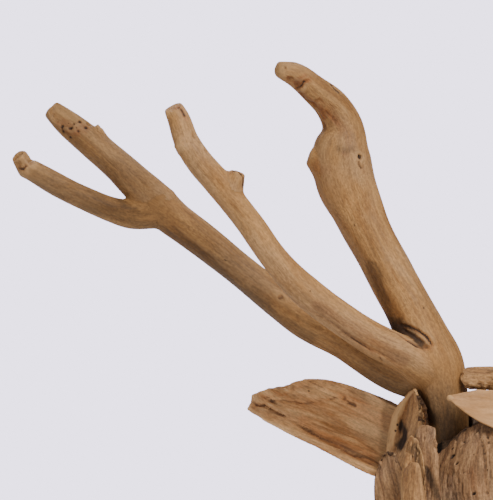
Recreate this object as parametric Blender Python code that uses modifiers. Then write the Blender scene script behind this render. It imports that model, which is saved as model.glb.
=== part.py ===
"""Stag-head bust built from driftwood.

The stag faces -Y, +Z is up, and the origin is the centre of the flat underside. Left and right are
the stag's own, so its right side is at -X. A mass of short slats, glued into one, carries two forked
branches as antlers, two curled boards as ears, a knob as nose, two small knots as eyes, and a skin
of single boards that are laid one over another with their free ends towards the crown.
"""

import math
import random
from dataclasses import dataclass

import bmesh
import bpy
import numpy as np
from mathutils import Matrix, Vector, noise
from mathutils.bvhtree import BVHTree

MM = 0.001

# Bust
CLEARANCE = 0.4 * MM
BASE_HALF_WIDTH = 82 * MM
BASE_HALF_DEPTH = 92 * MM
THROAT_HALF_WIDTH = 47 * MM
THROAT_HALF_DEPTH = 50 * MM
NECK_SET_BACK = 20 * MM
NECK_HEIGHT = 290 * MM
NAPE = Vector((0, 6 * MM, NECK_HEIGHT))
HEAD_LENGTH = 236 * MM
HEAD_HALF_WIDTH = 67 * MM
HEAD_HALF_HEIGHT = 60 * MM
HEAD_PITCH = math.radians(38)
FORM_VOXEL = 4 * MM
FORM_TRIANGLES = 2100

# Antlers, ears, nose and eyes, placed from the nape
ANTLER_INSET = 28 * MM
ANTLER_SINK = 7 * MM
ANTLER_ROOT_RIGHT = NAPE + Vector((ANTLER_INSET - HEAD_HALF_WIDTH, -14 * MM, HEAD_HALF_HEIGHT - ANTLER_SINK))
ANTLER_ROOT_LEFT = Vector((-ANTLER_ROOT_RIGHT.x, *ANTLER_ROOT_RIGHT.yz)) + Vector((1, 2, -1)) * MM
ANTLER_VOXEL = 2.4 * MM
ANTLER_TRIANGLES = 1100
LIMB_SWELL = 1.0
EAR_INSET = 17 * MM
EAR_ROOT = Vector((HEAD_HALF_WIDTH - EAR_INSET, 20 * MM, 0.6 * HEAD_HALF_HEIGHT))
EAR_LENGTH = 122 * MM
EAR_WIDTH = 54 * MM
EAR_THICKNESS = 7 * MM
NOSE_WIDTH = 48 * MM
NOSE_HEIGHT = 34 * MM
NOSE_DEPTH = 28 * MM
NOSE_SHARE = 1.0
EYE_DIAMETER = 20 * MM
EYE_SHARE = 0.36
EYE_ANGLE = 68
EYE_STANDS_OUT = 0.25

# Boards
BOARD_CELL_COUNT = 6
BOARD_THICKNESS = 8 * MM
FUSED_THICKNESS = 12 * MM
LIFT_STEP = 0.5 * MM
MOST_LIFT = 40 * MM
REACH = 45 * MM
MOST_BEND = {"across": 0.15, "along": 0.055, "twist": 0.10, "lean": 0.45, "roll": 0.45}
BOARD_SHARES = (1.0, 0.85, 0.7, 0.55)
CLOSE_ENOUGH = 9 * MM
FUSED_LENGTH = 80 * MM
FUSED_WIDTH = 46 * MM
FUSED_LEAN = 5
FUSED_NECK_ROWS = (35 * MM, 95 * MM, 155 * MM, 215 * MM)
FUSED_NECK_COUNT = 9
FUSED_HEAD_ROWS = (0.0, 0.25, 0.5, 0.75)
FUSED_HEAD_COUNT = 8

# Rows round the neck: height in mm, angles in degrees from the front, then length and width in mm. The
# rows are laid in this order, so that the free ends of the lower ones cover the feet of the upper ones.
NECK_ROWS = {
    "poll": (284, (158, 202), 84, 50),
    "nape": (218, (90, 135, 180, 225, 270), 122, 56),
    "neck": (118, (26, 77, 129, 180, 231, 283, 334), 118, 62),
    "foot": (30, (22, 68, 112, 158, 202, 248, 292, 338), 108, 68),
}

# Rows round the head: share of its length, angles in degrees from the forehead's middle, then length
# and width in mm
HEAD_ROWS = {
    "forehead": (0.48, (0, -40, 40), 88, 36),
    "cheek": (0.36, (-104, 104), 92, 46),
    "jaw": (0.60, (-146, 146), 78, 36),
    "bridge": (0.64, (-68, -108, 0, 108, 68), 84, 33),
    "muzzle": (0.85, (-36, -104, 180, 104, 36), 62, 29),
}

# Boards round the foot of the right antler, which the left side mirrors: foot and free end as seen from
# the front, (x, z), x as a share of HEAD_HALF_WIDTH and z in mm over the nape, how far behind the nape
# each of the two lies in mm, width and thickness in mm, and their form
TEMPLE_BOARDS = {
    "crown_board": ((0.51, 82), (-0.46, 83), (-22, -18), 17, 9, {"tip": 0.8}),
    "ear_guard": ((-1.15, 22), (-0.87, 79), (-26, -20), 30, 8, {"tip": 0.3, "foot": 0.5}),
    "temple_board": ((-0.39, -24), (-0.39, 60), (-104, -50), 43, 9, {"tip": 0.95, "slant": -0.2}),
    "temple_slat": ((-0.79, -22), (-0.8, 57), (-86, -44), 17, 9, {"tip": 0.75}),
    "side_slat": ((-1.07, -36), (-1.18, 43), (-62, -42), 27, 9, {"tip": 0.45}),
    "splinter": ((-0.93, -28), (-0.94, 48), (-78, -48), 17, 8, {"tip": 0.35}),
    "chip": ((-0.92, -26), (-0.97, 27), (-88, -66), 15, 7, {"tip": 0.7}),
    "brow_board": ((0.57, 52), (-0.61, 76), (-60, -50), 31, 7, {"tip": 0.2, "foot": 0.9}),
}
ONE_SIDED = ("crown_board", "brow_board", "chip")

# Each limb of an antler: its points as (x, y, z, radius) in millimetres from the antler's root
RIGHT_ANTLER = {
    "beam": [
        (3, 4, -24, 12.5),
        (2, 2, 2, 13),
        (-2, 0, 22, 15.3),
        (-8.5, 0, 40, 17.4),
        (-15, 2, 58, 17.2),
        (-24, 6, 77, 16.5),
        (-36, 10, 98, 16),
        (-48, 14, 121, 15.3),
        (-57, 17, 141, 16),
        (-64, 18, 160, 18.6),
        (-67.5, 18, 177, 18.4),
        (-66, 17, 195, 14.6),
        (-73, 12, 208, 12.2),
        (-86, 5, 219, 8.6),
        (-97, 0, 228, 6.6),
        (-110.5, -5, 233, 4.4),
    ],
    "shoulder": [(-67, 17, 158, 14.5), (-77, 16, 170, 13), (-88, 15, 176, 7)],
    "brow_limb": [
        (-6, -2, 32, 14),
        (-24, -10, 44, 11.4),
        (-50, -15, 58, 10),
        (-75, -18, 75, 9.5),
        (-92, -19, 89, 9.7),
        (-110, -20, 107, 8.7),
        (-128, -21, 133, 7.8),
        (-149, -21, 159, 8),
        (-160, -20, 171, 7.8),
        (-168, -18, 184, 7.1),
        (-174, -15, 199, 6.5),
        (-177, -13, 207, 5.4),
    ],
    "brow_knot": [(-140, -21, 152, 7.5), (-133, -22, 165, 3.8)],
    "outer_limb": [
        (-5, 6, 28, 14),
        (-32, 8, 34, 12.3),
        (-65, 12, 54, 11.2),
        (-93, 17, 69, 11),
        (-134, 25, 101, 10),
        (-166, 30, 127, 10.6),
        (-187, 32, 143, 12),
    ],
    "outer_tip": [
        (-183, 32, 141, 11),
        (-204, 30, 138.5, 8.2),
        (-218, 27, 141.5, 6.8),
        (-238, 22, 150, 6.1),
        (-260, 16, 160.5, 6.2),
        (-276.5, 11, 169, 5.8),
    ],
    "outer_tip_knot": [(-275, 12, 168, 5.2), (-279.5, 11, 176, 4.2)],
    "upper_tip": [
        (-185, 32, 143, 11.5),
        (-200, 34, 157, 10),
        (-212, 37, 169, 9.3),
        (-231, 42, 186, 9.1),
        (-246, 45, 198, 7.8),
        (-257, 47, 208, 5.8),
    ],
    "upper_tip_knot": [(-224, 41, 184, 5), (-227, 40, 193.5, 2.8)],
}
LEFT_ANTLER = {
    "beam": [
        (-3, 4, -24, 12.5),
        (-2, 2, 2, 13.4),
        (2, 1, 22, 15.8),
        (9, 2, 42, 17.6),
        (19, 6, 64, 16.4),
        (33, 12, 90, 15.4),
        (50, 18, 119, 14.6),
        (66, 22, 146, 15.2),
        (75, 23, 166, 15.8),
        (82, 21, 186, 12.6),
        (84, 15, 206, 10.4),
        (92, 6, 222, 8.6),
        (104, -2, 233, 6),
    ],
    "shoulder": [(74, 23, 160, 12.5), (88, 25, 170, 9.5), (97, 26, 181, 4.6)],
    "brow_limb": [
        (8, -2, 34, 13.6),
        (27, -10, 47, 11.2),
        (54, -17, 60, 10.2),
        (84, -21, 74, 9.6),
        (109, -24, 96, 8.8),
        (131, -27, 124, 8.2),
        (146, -28, 151, 7.6),
        (152, -25, 176, 6.6),
        (163, -20, 193, 4.8),
    ],
    "brow_knot": [(132, -27, 126, 7), (144, -31, 129, 3.6)],
    "outer_limb": [
        (6, 6, 28, 14),
        (35, 9, 37, 12),
        (72, 14, 52, 11),
        (112, 21, 76, 10.4),
        (151, 28, 108, 10.2),
        (178, 32, 131, 11.4),
    ],
    "outer_tip": [
        (174, 32, 128, 10.6),
        (198, 29, 133, 8.2),
        (224, 23, 141, 6.8),
        (249, 17, 157, 6),
        (262, 13, 165, 4.6),
    ],
    "upper_tip": [
        (175, 32, 129, 10.8),
        (193, 37, 152, 9.6),
        (213, 44, 174, 8.6),
        (229, 48, 199, 7.4),
        (234, 49, 211, 5.2),
    ],
}

# The ear's outline: share of its length, lower edge and upper edge as shares of its width
EAR_OUTLINE = [
    (0.00, -0.50, 0.34),
    (0.22, -0.60, 0.39),
    (0.45, -0.57, 0.38),
    (0.65, -0.54, 0.31),
    (0.80, -0.52, 0.13),
    (0.93, -0.50, -0.13),
    (1.00, -0.48, -0.26),
]

WOOD_COLOURS = {
    "branch": (0.44, 0.27, 0.13),
    "board": (0.33, 0.22, 0.13),
    "bed": (0.16, 0.10, 0.06),
    "dark": (0.06, 0.035, 0.02),
}


def clear_scene():
    """Removes whatever the startup scene holds."""
    for obj in list(bpy.data.objects):
        bpy.data.objects.remove(obj)


def collection(name):
    """A new collection, linked to the scene."""
    made = bpy.data.collections.new(name)
    bpy.context.scene.collection.children.link(made)
    return made


def wood(name):
    """The Principled material of one kind of driftwood."""
    material = bpy.data.materials.get(name)
    if material is None:
        material = bpy.data.materials.new(name)
        material.use_nodes = True
        shader = material.node_tree.nodes["Principled BSDF"]
        shader.inputs["Base Color"].default_value = (*WOOD_COLOURS[name], 1)
        shader.inputs["Roughness"].default_value = 0.75
        shader.inputs["Metallic"].default_value = 0.0
    return material


def add_object(name, mesh, material, group):
    """A new object that shows mesh, with one of the wood materials."""
    obj = bpy.data.objects.new(name, mesh)
    obj.data.materials.clear()
    obj.data.materials.append(wood(material))
    group.objects.link(obj)
    return obj


def mesh_from(bm, name):
    """Turns bm into a mesh of triangles and frees it."""
    bmesh.ops.triangulate(bm, faces=bm.faces)
    bmesh.ops.recalc_face_normals(bm, faces=bm.faces)
    mesh = bpy.data.meshes.new(name)
    bm.to_mesh(mesh)
    bm.free()
    return mesh


def evaluated_mesh(obj):
    """The object's mesh with its modifiers applied, in world space."""
    bpy.context.view_layer.update()
    graph = bpy.context.evaluated_depsgraph_get()
    mesh = bpy.data.meshes.new_from_object(obj.evaluated_get(graph))
    mesh.transform(obj.matrix_world)
    return mesh


def apply_modifiers(obj):
    """Keeps the object's evaluated shape as its own mesh."""
    mesh = evaluated_mesh(obj)
    obj.modifiers.clear()
    obj.matrix_world = Matrix.Identity(4)
    obj.data = mesh
    return obj


def joined(name, meshes):
    """One mesh that holds several, which still overlap."""
    bm = bmesh.new()
    for mesh in meshes:
        bm.from_mesh(mesh)
    return mesh_from(bm, name)


def settled(mesh):
    """The same mesh with its vertices and faces in an order that is alike in every run."""
    places = np.round([tuple(vert.co) for vert in mesh.vertices], 7)
    order = np.lexsort(places.T)
    rank = np.empty(len(order), dtype=int)
    rank[order] = np.arange(len(order))
    faces = []
    for face in mesh.polygons:
        loop = [int(rank[index]) for index in face.vertices]
        first = loop.index(min(loop))
        faces.append(tuple(loop[first:] + loop[:first]))
    steady = bpy.data.meshes.new(mesh.name)
    steady.from_pydata(places[order].tolist(), [], sorted(faces))
    steady.update()
    for material in mesh.materials:
        steady.materials.append(material)
    return steady


def fuse(obj, voxel, smoothing, triangles):
    """Melts the overlapping shapes of obj into one closed skin of about that many triangles."""
    remesh = obj.modifiers.new("fuse", "REMESH")
    remesh.mode = "VOXEL"
    remesh.voxel_size = voxel
    apply_modifiers(obj)
    obj.data = settled(obj.data)
    smooth = obj.modifiers.new("soften", "SMOOTH")
    smooth.iterations = smoothing
    smooth.factor = 0.5
    apply_modifiers(obj)
    thin = obj.modifiers.new("thin_out", "DECIMATE")
    thin.use_collapse_triangulate = True
    thin.ratio = min(1.0, triangles / (2 * len(obj.data.polygons)))
    apply_modifiers(obj)
    obj.data = settled(obj.data)
    return obj


# Bust form


def ring(bm, centre, across, up, half_width, half_height, count=20):
    """A loop of edges on an ellipse, and returns its edges."""
    axes = Matrix((across * half_width, up * half_height, across.cross(up))).transposed().to_4x4()
    placed = Matrix.Translation(centre) @ axes
    made = bmesh.ops.create_circle(bm, cap_ends=False, segments=count, radius=1, matrix=placed)
    return list({edge for vert in made["verts"] for edge in vert.link_edges})


def loft(name, sections):
    """A closed skin over elliptical sections, each (centre, up, half width, half height)."""
    bm = bmesh.new()
    across = Vector((1, 0, 0))
    rings = [ring(bm, centre, across, up, wide, high) for centre, up, wide, high in sections]
    for first, second in zip(rings, rings[1:]):
        bmesh.ops.bridge_loops(bm, edges=first + second)
    bmesh.ops.holes_fill(bm, edges=[edge for edge in bm.edges if edge.is_boundary], sides=0)
    return mesh_from(bm, name)


def head_axis():
    """The direction from the nape to the nose."""
    return Vector((0, -math.cos(HEAD_PITCH), -math.sin(HEAD_PITCH)))


def head_up():
    """Square to the head's axis, out of the forehead."""
    return Vector((0, -math.sin(HEAD_PITCH), math.cos(HEAD_PITCH)))


def head_point(share):
    """A point on the head's axis, at a share of its length from the nape."""
    return NAPE + head_axis() * HEAD_LENGTH * share


def neck_point(height):
    """The middle of the neck at a height."""
    return Vector((0, NECK_SET_BACK * math.sin(0.5 * math.pi * min(1, height / NAPE.z)), height))


def neck_mesh():
    """The neck, wide at the foot, carried a little below the ground so that it can be cut flat."""
    spreads = [(-0.08, 1.0), (0.0, 1.0), (0.16, 0.86), (0.36, 0.46), (0.56, 0.16), (0.78, 0.0), (1.0, 0.0)]
    sections = []
    for share, spread in spreads:
        height = share * NAPE.z
        wide = THROAT_HALF_WIDTH + (BASE_HALF_WIDTH - THROAT_HALF_WIDTH) * spread
        deep = THROAT_HALF_DEPTH + (BASE_HALF_DEPTH - THROAT_HALF_DEPTH) * spread
        sections.append((neck_point(height), Vector((0, 1, 0)), wide, deep))
    return loft("neck", sections)


def head_mesh():
    """The head, domed at the crown and tapering to a blunt muzzle."""
    shares = [
        (-0.22, 0.30, 0.34),
        (-0.17, 0.66, 0.74),
        (-0.06, 0.92, 1.08),
        (0.10, 1.00, 1.09),
        (0.26, 1.00, 1.00),
        (0.44, 0.73, 0.80),
        (0.62, 0.51, 0.64),
        (0.82, 0.41, 0.50),
        (0.96, 0.39, 0.44),
        (1.00, 0.30, 0.34),
    ]
    sections = [
        (head_point(share), head_up(), HEAD_HALF_WIDTH * wide, HEAD_HALF_HEIGHT * high)
        for share, wide, high in shares
    ]
    return loft("head", sections)


# Boards


@dataclass(frozen=True)
class Bend:
    """How a board's inner face lies over its own plane, in metres at its edges and ends."""

    height: float = 0.0
    roll: float = 0.0
    lean: float = 0.0
    across: float = 0.0
    along: float = 0.0
    twist: float = 0.0

    def at(self, side, end):
        """The inner face's height, at -1 to 1 across the board and -1 to 1 along it."""
        straight = self.height + self.roll * side + self.lean * end
        return straight + self.across * side * side + self.along * end * end + self.twist * side * end


def ripple(place):
    """A smooth random vector that is alike in every run."""
    return Vector([noise.noise(place + Vector((shift, 0, 0))) for shift in (0, 37.2, 81.9)])


def board_mesh(name, size, seed, bend, tip=0.5, foot=0.8, slant=0.0):
    """A split board: across is X, its outer face is +Y and its free end is +Z, a third of it below Z = 0.

    size is its length, width and thickness. tip and foot are the widths there as shares of the width,
    and slant lowers one side of the free end.
    """
    length, width, thickness = size
    bm = bmesh.new()
    bmesh.ops.create_cube(bm, size=1)
    lengthwise = [edge for edge in bm.edges if abs(edge.verts[0].co.z - edge.verts[1].co.z) > 0.5]
    bmesh.ops.subdivide_edges(bm, edges=lengthwise, cuts=BOARD_CELL_COUNT - 1, use_grid_fill=True)
    crosswise = [edge for edge in bm.edges if abs(edge.verts[0].co.x - edge.verts[1].co.x) > 0.5]
    bmesh.ops.subdivide_edges(bm, edges=crosswise, cuts=1, use_grid_fill=True)
    for vert in bm.verts:
        side, outer, along = 2 * vert.co.x, vert.co.y + 0.5, vert.co.z + 0.5
        share = min(1, foot + (1 - foot) * along / 0.3, tip + (1 - tip) * ((1 - along) / 0.45) ** 0.7)
        wobble = ripple(Vector((3 * side, 5 * along, seed * 7.3))) * 0.09 * width
        thick = thickness * (1 - 0.42 * side * side) * (1 - 0.4 * along**3)
        rounded = 0.12 * width * side * side * (along**8 - (1 - along) ** 8)
        high = length * (along - 1 / 3) - rounded + slant * width * side * along**6
        out = bend.at(side, 2 * along - 1) + outer * thick * (1 + 0.35 * wobble.y / (0.09 * width))
        vert.co = Vector((side * share * width / 2 + wobble.x, out, high + 0.6 * wobble.z))
    return mesh_from(bm, name)


def stance(position, outward, free_end):
    """The matrix that stands a board's middle at position, facing outward, its free end towards free_end."""
    outward = outward.normalized()
    upward = (free_end - outward * free_end.dot(outward)).normalized()
    across = outward.cross(upward)
    matrix = Matrix((across, outward, upward)).transposed().to_4x4()
    matrix.translation = position
    return matrix


class Pile:
    """Everything laid so far, from which the next board is lifted until it only touches."""

    def __init__(self):
        self.solids = []

    def add(self, mesh):
        """Takes a mesh in world space as something to rest on."""
        self.solids.append((tree_of(mesh), *corners([vert.co for vert in mesh.vertices])))

    def clear_of(self, points, faces):
        """Whether a closed shape neither cuts through nor lies inside anything laid so far."""
        low, high = corners(points)
        tree = None
        for solid, solid_low, solid_high in self.solids:
            if any(high[axis] < solid_low[axis] or low[axis] > solid_high[axis] for axis in range(3)):
                continue
            tree = tree or BVHTree.FromPolygons(points, faces)
            if tree.overlap(solid) or inside(solid, points[0]):
                return False
        return True

    def height_over(self, matrix, side, end):
        """How high the pile comes over a place in a board's plane, or None where there is nothing."""
        outward = matrix.col[1].xyz
        start = matrix @ Vector((side, REACH, end))
        hits = [solid.ray_cast(start, -outward, 2 * REACH)[3] for solid, _, _ in self.solids]
        hits = [distance for distance in hits if distance is not None]
        return REACH - min(hits) if hits else None

    def snug(self, matrix, length, width):
        """The bend that lets a board at matrix lie closely on the pile, and how far it stands off."""
        rows, heights = [], []
        for end in np.linspace(-1, 1, 9):
            for side in np.linspace(-1, 1, 5):
                place = (side * width * 0.45, length * (end / 2 + 1 / 6))
                height = self.height_over(matrix, *place)
                if height is not None:
                    rows.append((1, side, end, side * side, end * end, side * end))
                    heights.append(height)
        if len(heights) < 10:
            return Bend(), MOST_LIFT
        terms, heights = np.array(rows), np.array(heights)
        most = np.array([
            MOST_BEND["roll"] * width / 2,
            MOST_BEND["lean"] * length / 2,
            MOST_BEND["across"] * width,
            MOST_BEND["along"] * length,
            MOST_BEND["twist"] * width,
        ])
        fitted = upper_fit(terms, heights)
        shape = np.clip(fitted[1:], -most, most)
        height = float(np.quantile(heights - terms[:, 1:] @ shape, 0.96))
        bend = Bend(height + CLEARANCE, *(float(value) for value in shape))
        near = np.sort(height + terms[:, 1:] @ shape - heights)[: len(heights) * 2 // 3]
        return bend, float(near.mean())

    def lift(self, mesh, matrix, outward):
        """How far mesh has to go outward from its place before it lies free, at most MOST_LIFT."""
        swollen = [matrix @ (vert.co + vert.normal * CLEARANCE) for vert in mesh.vertices]
        faces = [tuple(face.vertices) for face in mesh.polygons]
        height = 0.0
        while height < MOST_LIFT:
            if self.clear_of([point + outward * height for point in swollen], faces):
                return height
            height += LIFT_STEP
        return math.inf


def tree_of(mesh):
    """A search tree over a mesh's faces."""
    points = [vert.co.copy() for vert in mesh.vertices]
    return BVHTree.FromPolygons(points, [tuple(face.vertices) for face in mesh.polygons])


def upper_fit(terms, heights):
    """The coefficients of the surface that lies close on top of the heights."""
    ridge = np.diag([0.0, 0.02, 0.02, 0.6, 0.6, 0.6])
    above = np.zeros(len(heights), dtype=bool)
    for _ in range(25):
        weights = np.where(above, 12.0, 1.0)
        weighted = terms * weights[:, None]
        fitted = np.linalg.solve(terms.T @ weighted + ridge, weighted.T @ heights)
        above = heights > terms @ fitted
    return fitted


def corners(points):
    """The lowest and highest corner of a set of points."""
    return (
        [min(point[axis] for point in points) for axis in range(3)],
        [max(point[axis] for point in points) for axis in range(3)],
    )


def inside(tree, point):
    """Whether a point lies inside a closed shape, from how often a ray out of it meets the skin."""
    direction = Vector((0.31, 0.17, 0.93)).normalized()
    crossings = 0
    met = tree.ray_cast(point, direction)[0]
    while met is not None:
        crossings += 1
        met = tree.ray_cast(met + direction * 0.001 * MM, direction)[0]
    return crossings % 2 == 1


def cut_at_ground(mesh):
    """Cuts a mesh in world space off flat at the height of the underside."""
    bm = bmesh.new()
    bm.from_mesh(mesh)
    whole = bm.verts[:] + bm.edges[:] + bm.faces[:]
    ground = Vector((0, 0, 0))
    bmesh.ops.bisect_plane(bm, geom=whole, plane_co=ground, plane_no=(0, 0, -1), clear_outer=True)
    bmesh.ops.holes_fill(bm, edges=[edge for edge in bm.edges if edge.is_boundary], sides=0)
    return mesh_from(bm, mesh.name)


def hit_from(tree, start, direction):
    """Where a ray from inside the form leaves it, and the form's normal there."""
    point, normal, _, _ = tree.ray_cast(start, direction)
    return (point, normal if normal.dot(direction) > 0 else -normal)


def neck_spots(tree, height, angles):
    """Points and normals round the neck at a height, at angles in degrees from the front."""
    for angle in angles:
        turn = math.radians(angle)
        yield hit_from(tree, neck_point(height), Vector((math.sin(turn), -math.cos(turn), 0)))


def head_spots(tree, share, angles):
    """Points and normals round the head's axis, at angles in degrees from the forehead's middle."""
    for angle in angles:
        turn = math.radians(angle)
        direction = head_up() * math.cos(turn) + Vector((1, 0, 0)) * math.sin(turn)
        yield hit_from(tree, head_point(share), direction)


# Antlers, ears and the small pieces


def limb_mesh(name, points):
    """One limb as a tube through its points, each (x, y, z, radius) in millimetres."""
    curve = bpy.data.curves.new(name, "CURVE")
    curve.dimensions = "3D"
    curve.bevel_depth = MM
    curve.bevel_resolution = 3
    curve.resolution_u = 4
    curve.use_fill_caps = True
    spline = curve.splines.new("BEZIER")
    spline.bezier_points.add(len(points) - 1)
    for knot, (x, y, z, radius) in zip(spline.bezier_points, points):
        knot.co = Vector((x, y, z)) * MM
        knot.radius = radius + LIMB_SWELL
        knot.handle_left_type = knot.handle_right_type = "AUTO"
    obj = bpy.data.objects.new(name, curve)
    bpy.context.scene.collection.objects.link(obj)
    mesh = evaluated_mesh(obj)
    bpy.data.objects.remove(obj)
    bm = bmesh.new()
    bm.from_mesh(mesh)
    bmesh.ops.remove_doubles(bm, verts=bm.verts, dist=0.01 * MM)
    return mesh_from(bm, name)


def antler(name, limbs, root, group):
    """A forked branch: its limbs melted into one."""
    mesh = joined(name, [limb_mesh(f"{name}_{limb}", points) for limb, points in limbs.items()])
    mesh.transform(Matrix.Translation(root))
    return fuse(add_object(name, mesh, "branch", group), ANTLER_VOXEL, 3, ANTLER_TRIANGLES)


def at_share(rows, share):
    """The values of the outline's rows at a share of the length."""
    for low, high in zip(rows, rows[1:]):
        if share <= high[0]:
            blend = (share - low[0]) / (high[0] - low[0])
            return [a + (b - a) * blend for a, b in zip(low[1:], high[1:])]
    return rows[-1][1:]


def ear_mesh(name, side):
    """A curled board with a straight lower edge: its inside is -Y, its tip +X for side 1."""
    bm = bmesh.new()
    bmesh.ops.create_cube(bm, size=1)
    for axis, cuts in ((0, 9), (2, 3)):
        edges = [edge for edge in bm.edges if abs(edge.verts[0].co[axis] - edge.verts[1].co[axis]) > 0.5]
        bmesh.ops.subdivide_edges(bm, edges=edges, cuts=cuts, use_grid_fill=True)
    for vert in bm.verts:
        along, face, across = vert.co.x + 0.5, 2 * vert.co.y, vert.co.z + 0.5
        lower, upper = at_share(EAR_OUTLINE, along)
        high = EAR_WIDTH * (lower + (upper - lower) * across)
        off_axis = high / (EAR_WIDTH / 2)
        curl = 0.2 * EAR_WIDTH * off_axis**2 * (1 - 0.5 * along)
        thick = EAR_THICKNESS * (1 - 0.3 * off_axis**2) * (1 - 0.35 * along)
        ripple = noise.noise(Vector((4 * along, 3 * across, 2 + side))) * 2.5 * MM
        backward = face * thick / 2 - curl + ripple + 10 * MM * along**2
        vert.co = Vector((side * EAR_LENGTH * along, backward, high))
    return mesh_from(bm, name)


def ear(name, side, group):
    """One ear, let into the side of the head and pointing out and up."""
    obj = add_object(name, ear_mesh(name, side), "branch", group)
    obj.location = NAPE + EAR_ROOT * Vector((side, 1, 1))
    obj.rotation_euler = (math.radians(-4), -side * math.radians(24), side * math.radians(6))
    return apply_modifiers(obj)


def ball(name, width, depth, height, ripple):
    """A rounded lump of wood."""
    bm = bmesh.new()
    bmesh.ops.create_uvsphere(bm, u_segments=10, v_segments=6, radius=0.5)
    for vert in bm.verts:
        vert.co *= 1 + ripple * noise.noise(vert.co * 3)
        vert.co = Vector((vert.co.x * width, vert.co.y * depth, vert.co.z * height))
    return mesh_from(bm, name)


def small_pieces(tree, group):
    """The nose and the eyes, half let into the head."""
    nose = add_object("nose", ball("nose", NOSE_WIDTH, NOSE_DEPTH, NOSE_HEIGHT, 0.12), "dark", group)
    nose.data.transform(stance(head_point(NOSE_SHARE), head_axis(), head_up()))
    made = [nose]
    for name, angle in (("eye_right", -EYE_ANGLE), ("eye_left", EYE_ANGLE)):
        point, normal = next(head_spots(tree, EYE_SHARE, [angle]))
        eye = add_object(name, ball(name, EYE_DIAMETER, EYE_DIAMETER, EYE_DIAMETER, 0.05), "dark", group)
        eye.data.transform(stance(point + normal * EYE_DIAMETER * EYE_STANDS_OUT, normal, -head_axis()))
        made.append(eye)
    return made


def swollen_copy(obj, group):
    """A cutter a clearance larger than obj all over."""
    bm = bmesh.new()
    bm.from_mesh(obj.data)
    bm.normal_update()
    normals = [vert.normal.copy() for vert in bm.verts]
    for vert, normal in zip(bm.verts, normals):
        vert.co += normal * CLEARANCE
    cutter = add_object(f"{obj.name}_socket", mesh_from(bm, f"{obj.name}_socket"), "dark", group)
    cutter.hide_render = True
    cutter.display_type = "WIRE"
    return cutter


def let_in(bed, pieces, helpers):
    """Cuts sockets for the pieces into the bed."""
    for piece in pieces:
        cut = bed.modifiers.new(f"{piece.name}_socket", "BOOLEAN")
        cut.operation = "DIFFERENCE"
        cut.use_self = True
        cut.object = swollen_copy(piece, helpers)
    apply_modifiers(bed)
    bed.data = settled(bed.data)
    return bed


# The bust's boards


def fused_boards(tree):
    """The short boards of the inner layer, sunk to half their thickness in the form."""
    dice = random.Random(11)
    spots = []
    for row, height in enumerate(FUSED_NECK_ROWS):
        angles = [360 * (index + 0.5 * (row % 2)) / FUSED_NECK_COUNT for index in range(FUSED_NECK_COUNT)]
        for point, normal in neck_spots(tree, height, angles):
            spots.append((point, normal, Vector((0, 0, 1))))
    for row, share in enumerate(FUSED_HEAD_ROWS):
        angles = [360 * (index + 0.5 * (row % 2)) / FUSED_HEAD_COUNT for index in range(FUSED_HEAD_COUNT)]
        for point, normal in head_spots(tree, share, angles):
            spots.append((point, normal, -head_axis()))
    meshes = []
    for point, normal, free_end in spots:
        length = FUSED_LENGTH * dice.uniform(0.85, 1.15)
        width = FUSED_WIDTH * dice.uniform(0.8, 1.1)
        sunk = Bend(height=-FUSED_THICKNESS / 2, across=-0.1 * width, along=-0.06 * length)
        mesh = board_mesh("fused", (length, width, FUSED_THICKNESS), dice.randrange(1000), sunk)
        mesh.transform(stance(point, normal, free_end) @ tilt(dice.uniform(-7, 7), FUSED_LEAN))
        meshes.append(mesh)
    return meshes


def tilt(swing, lean):
    """Turns a board in its own plane by swing, and its free end outward by lean, in degrees."""
    return Matrix.Rotation(math.radians(swing), 4, "Y") @ Matrix.Rotation(math.radians(lean), 4, "X")


def fitted_board(name, size, form, seed, matrix, pile):
    """A board bent to what lies under it and lifted clear, in world space, and how far it stands off."""
    bend, gap = pile.snug(matrix, size[0], size[1])
    mesh = board_mesh(name, size, seed, bend, **form)
    outward = matrix.col[1].xyz
    height = pile.lift(mesh, matrix, outward)
    mesh.transform(Matrix.Translation(outward * min(height, MOST_LIFT)) @ matrix)
    return mesh, gap + height


def lay(name, size, form, seed, stances, shares, pile, group):
    """Lays a board, whole or at one of the shares of its size, where it lies closest, as its own piece."""
    best, closest = None, None
    for share in shares:
        for matrix in stances:
            shorter = (size[0] * share, size[1] * share, size[2])
            mesh, off = fitted_board(name, shorter, form, seed, matrix, pile)
            if best is None or off < closest:
                best, closest = mesh, off
        if closest < CLOSE_ENOUGH:
            break
    if closest == math.inf:
        raise ValueError(f"{name} finds no free place")
    mesh = best
    if min(vert.co.z for vert in mesh.vertices) < 0:
        mesh = cut_at_ground(mesh)
    pile.add(mesh)
    return add_object(name, mesh, "board", group)


def lay_row(names, spots, free_end, usual, seed, pile, group):
    """Lays a row of boards at their spots, every second one over its neighbours."""
    dice = random.Random(seed)
    placed = list(zip(names, spots))
    for name, (point, normal) in placed[::2] + placed[1::2]:
        length = usual[0] * dice.uniform(0.88, 1.12)
        width = usual[1] * dice.uniform(0.85, 1.12)
        thickness = BOARD_THICKNESS * dice.uniform(0.85, 1.2)
        form = {
            "tip": dice.uniform(0.35, 0.7),
            "foot": dice.uniform(0.6, 0.9),
            "slant": dice.uniform(-0.12, 0.12),
        }
        swing = dice.uniform(-8, 8)
        upright = stance(point, normal, free_end)
        stances = [
            upright @ Matrix.Translation((0, 0, slide * length)) @ tilt(swing + turn, 4)
            for slide in (0, -0.16, 0.16, -0.35)
            for turn in (0, -9, 9)
        ]
        size = (length, width, thickness)
        lay(name, size, form, dice.randrange(1000), stances, BOARD_SHARES, pile, group)


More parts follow.
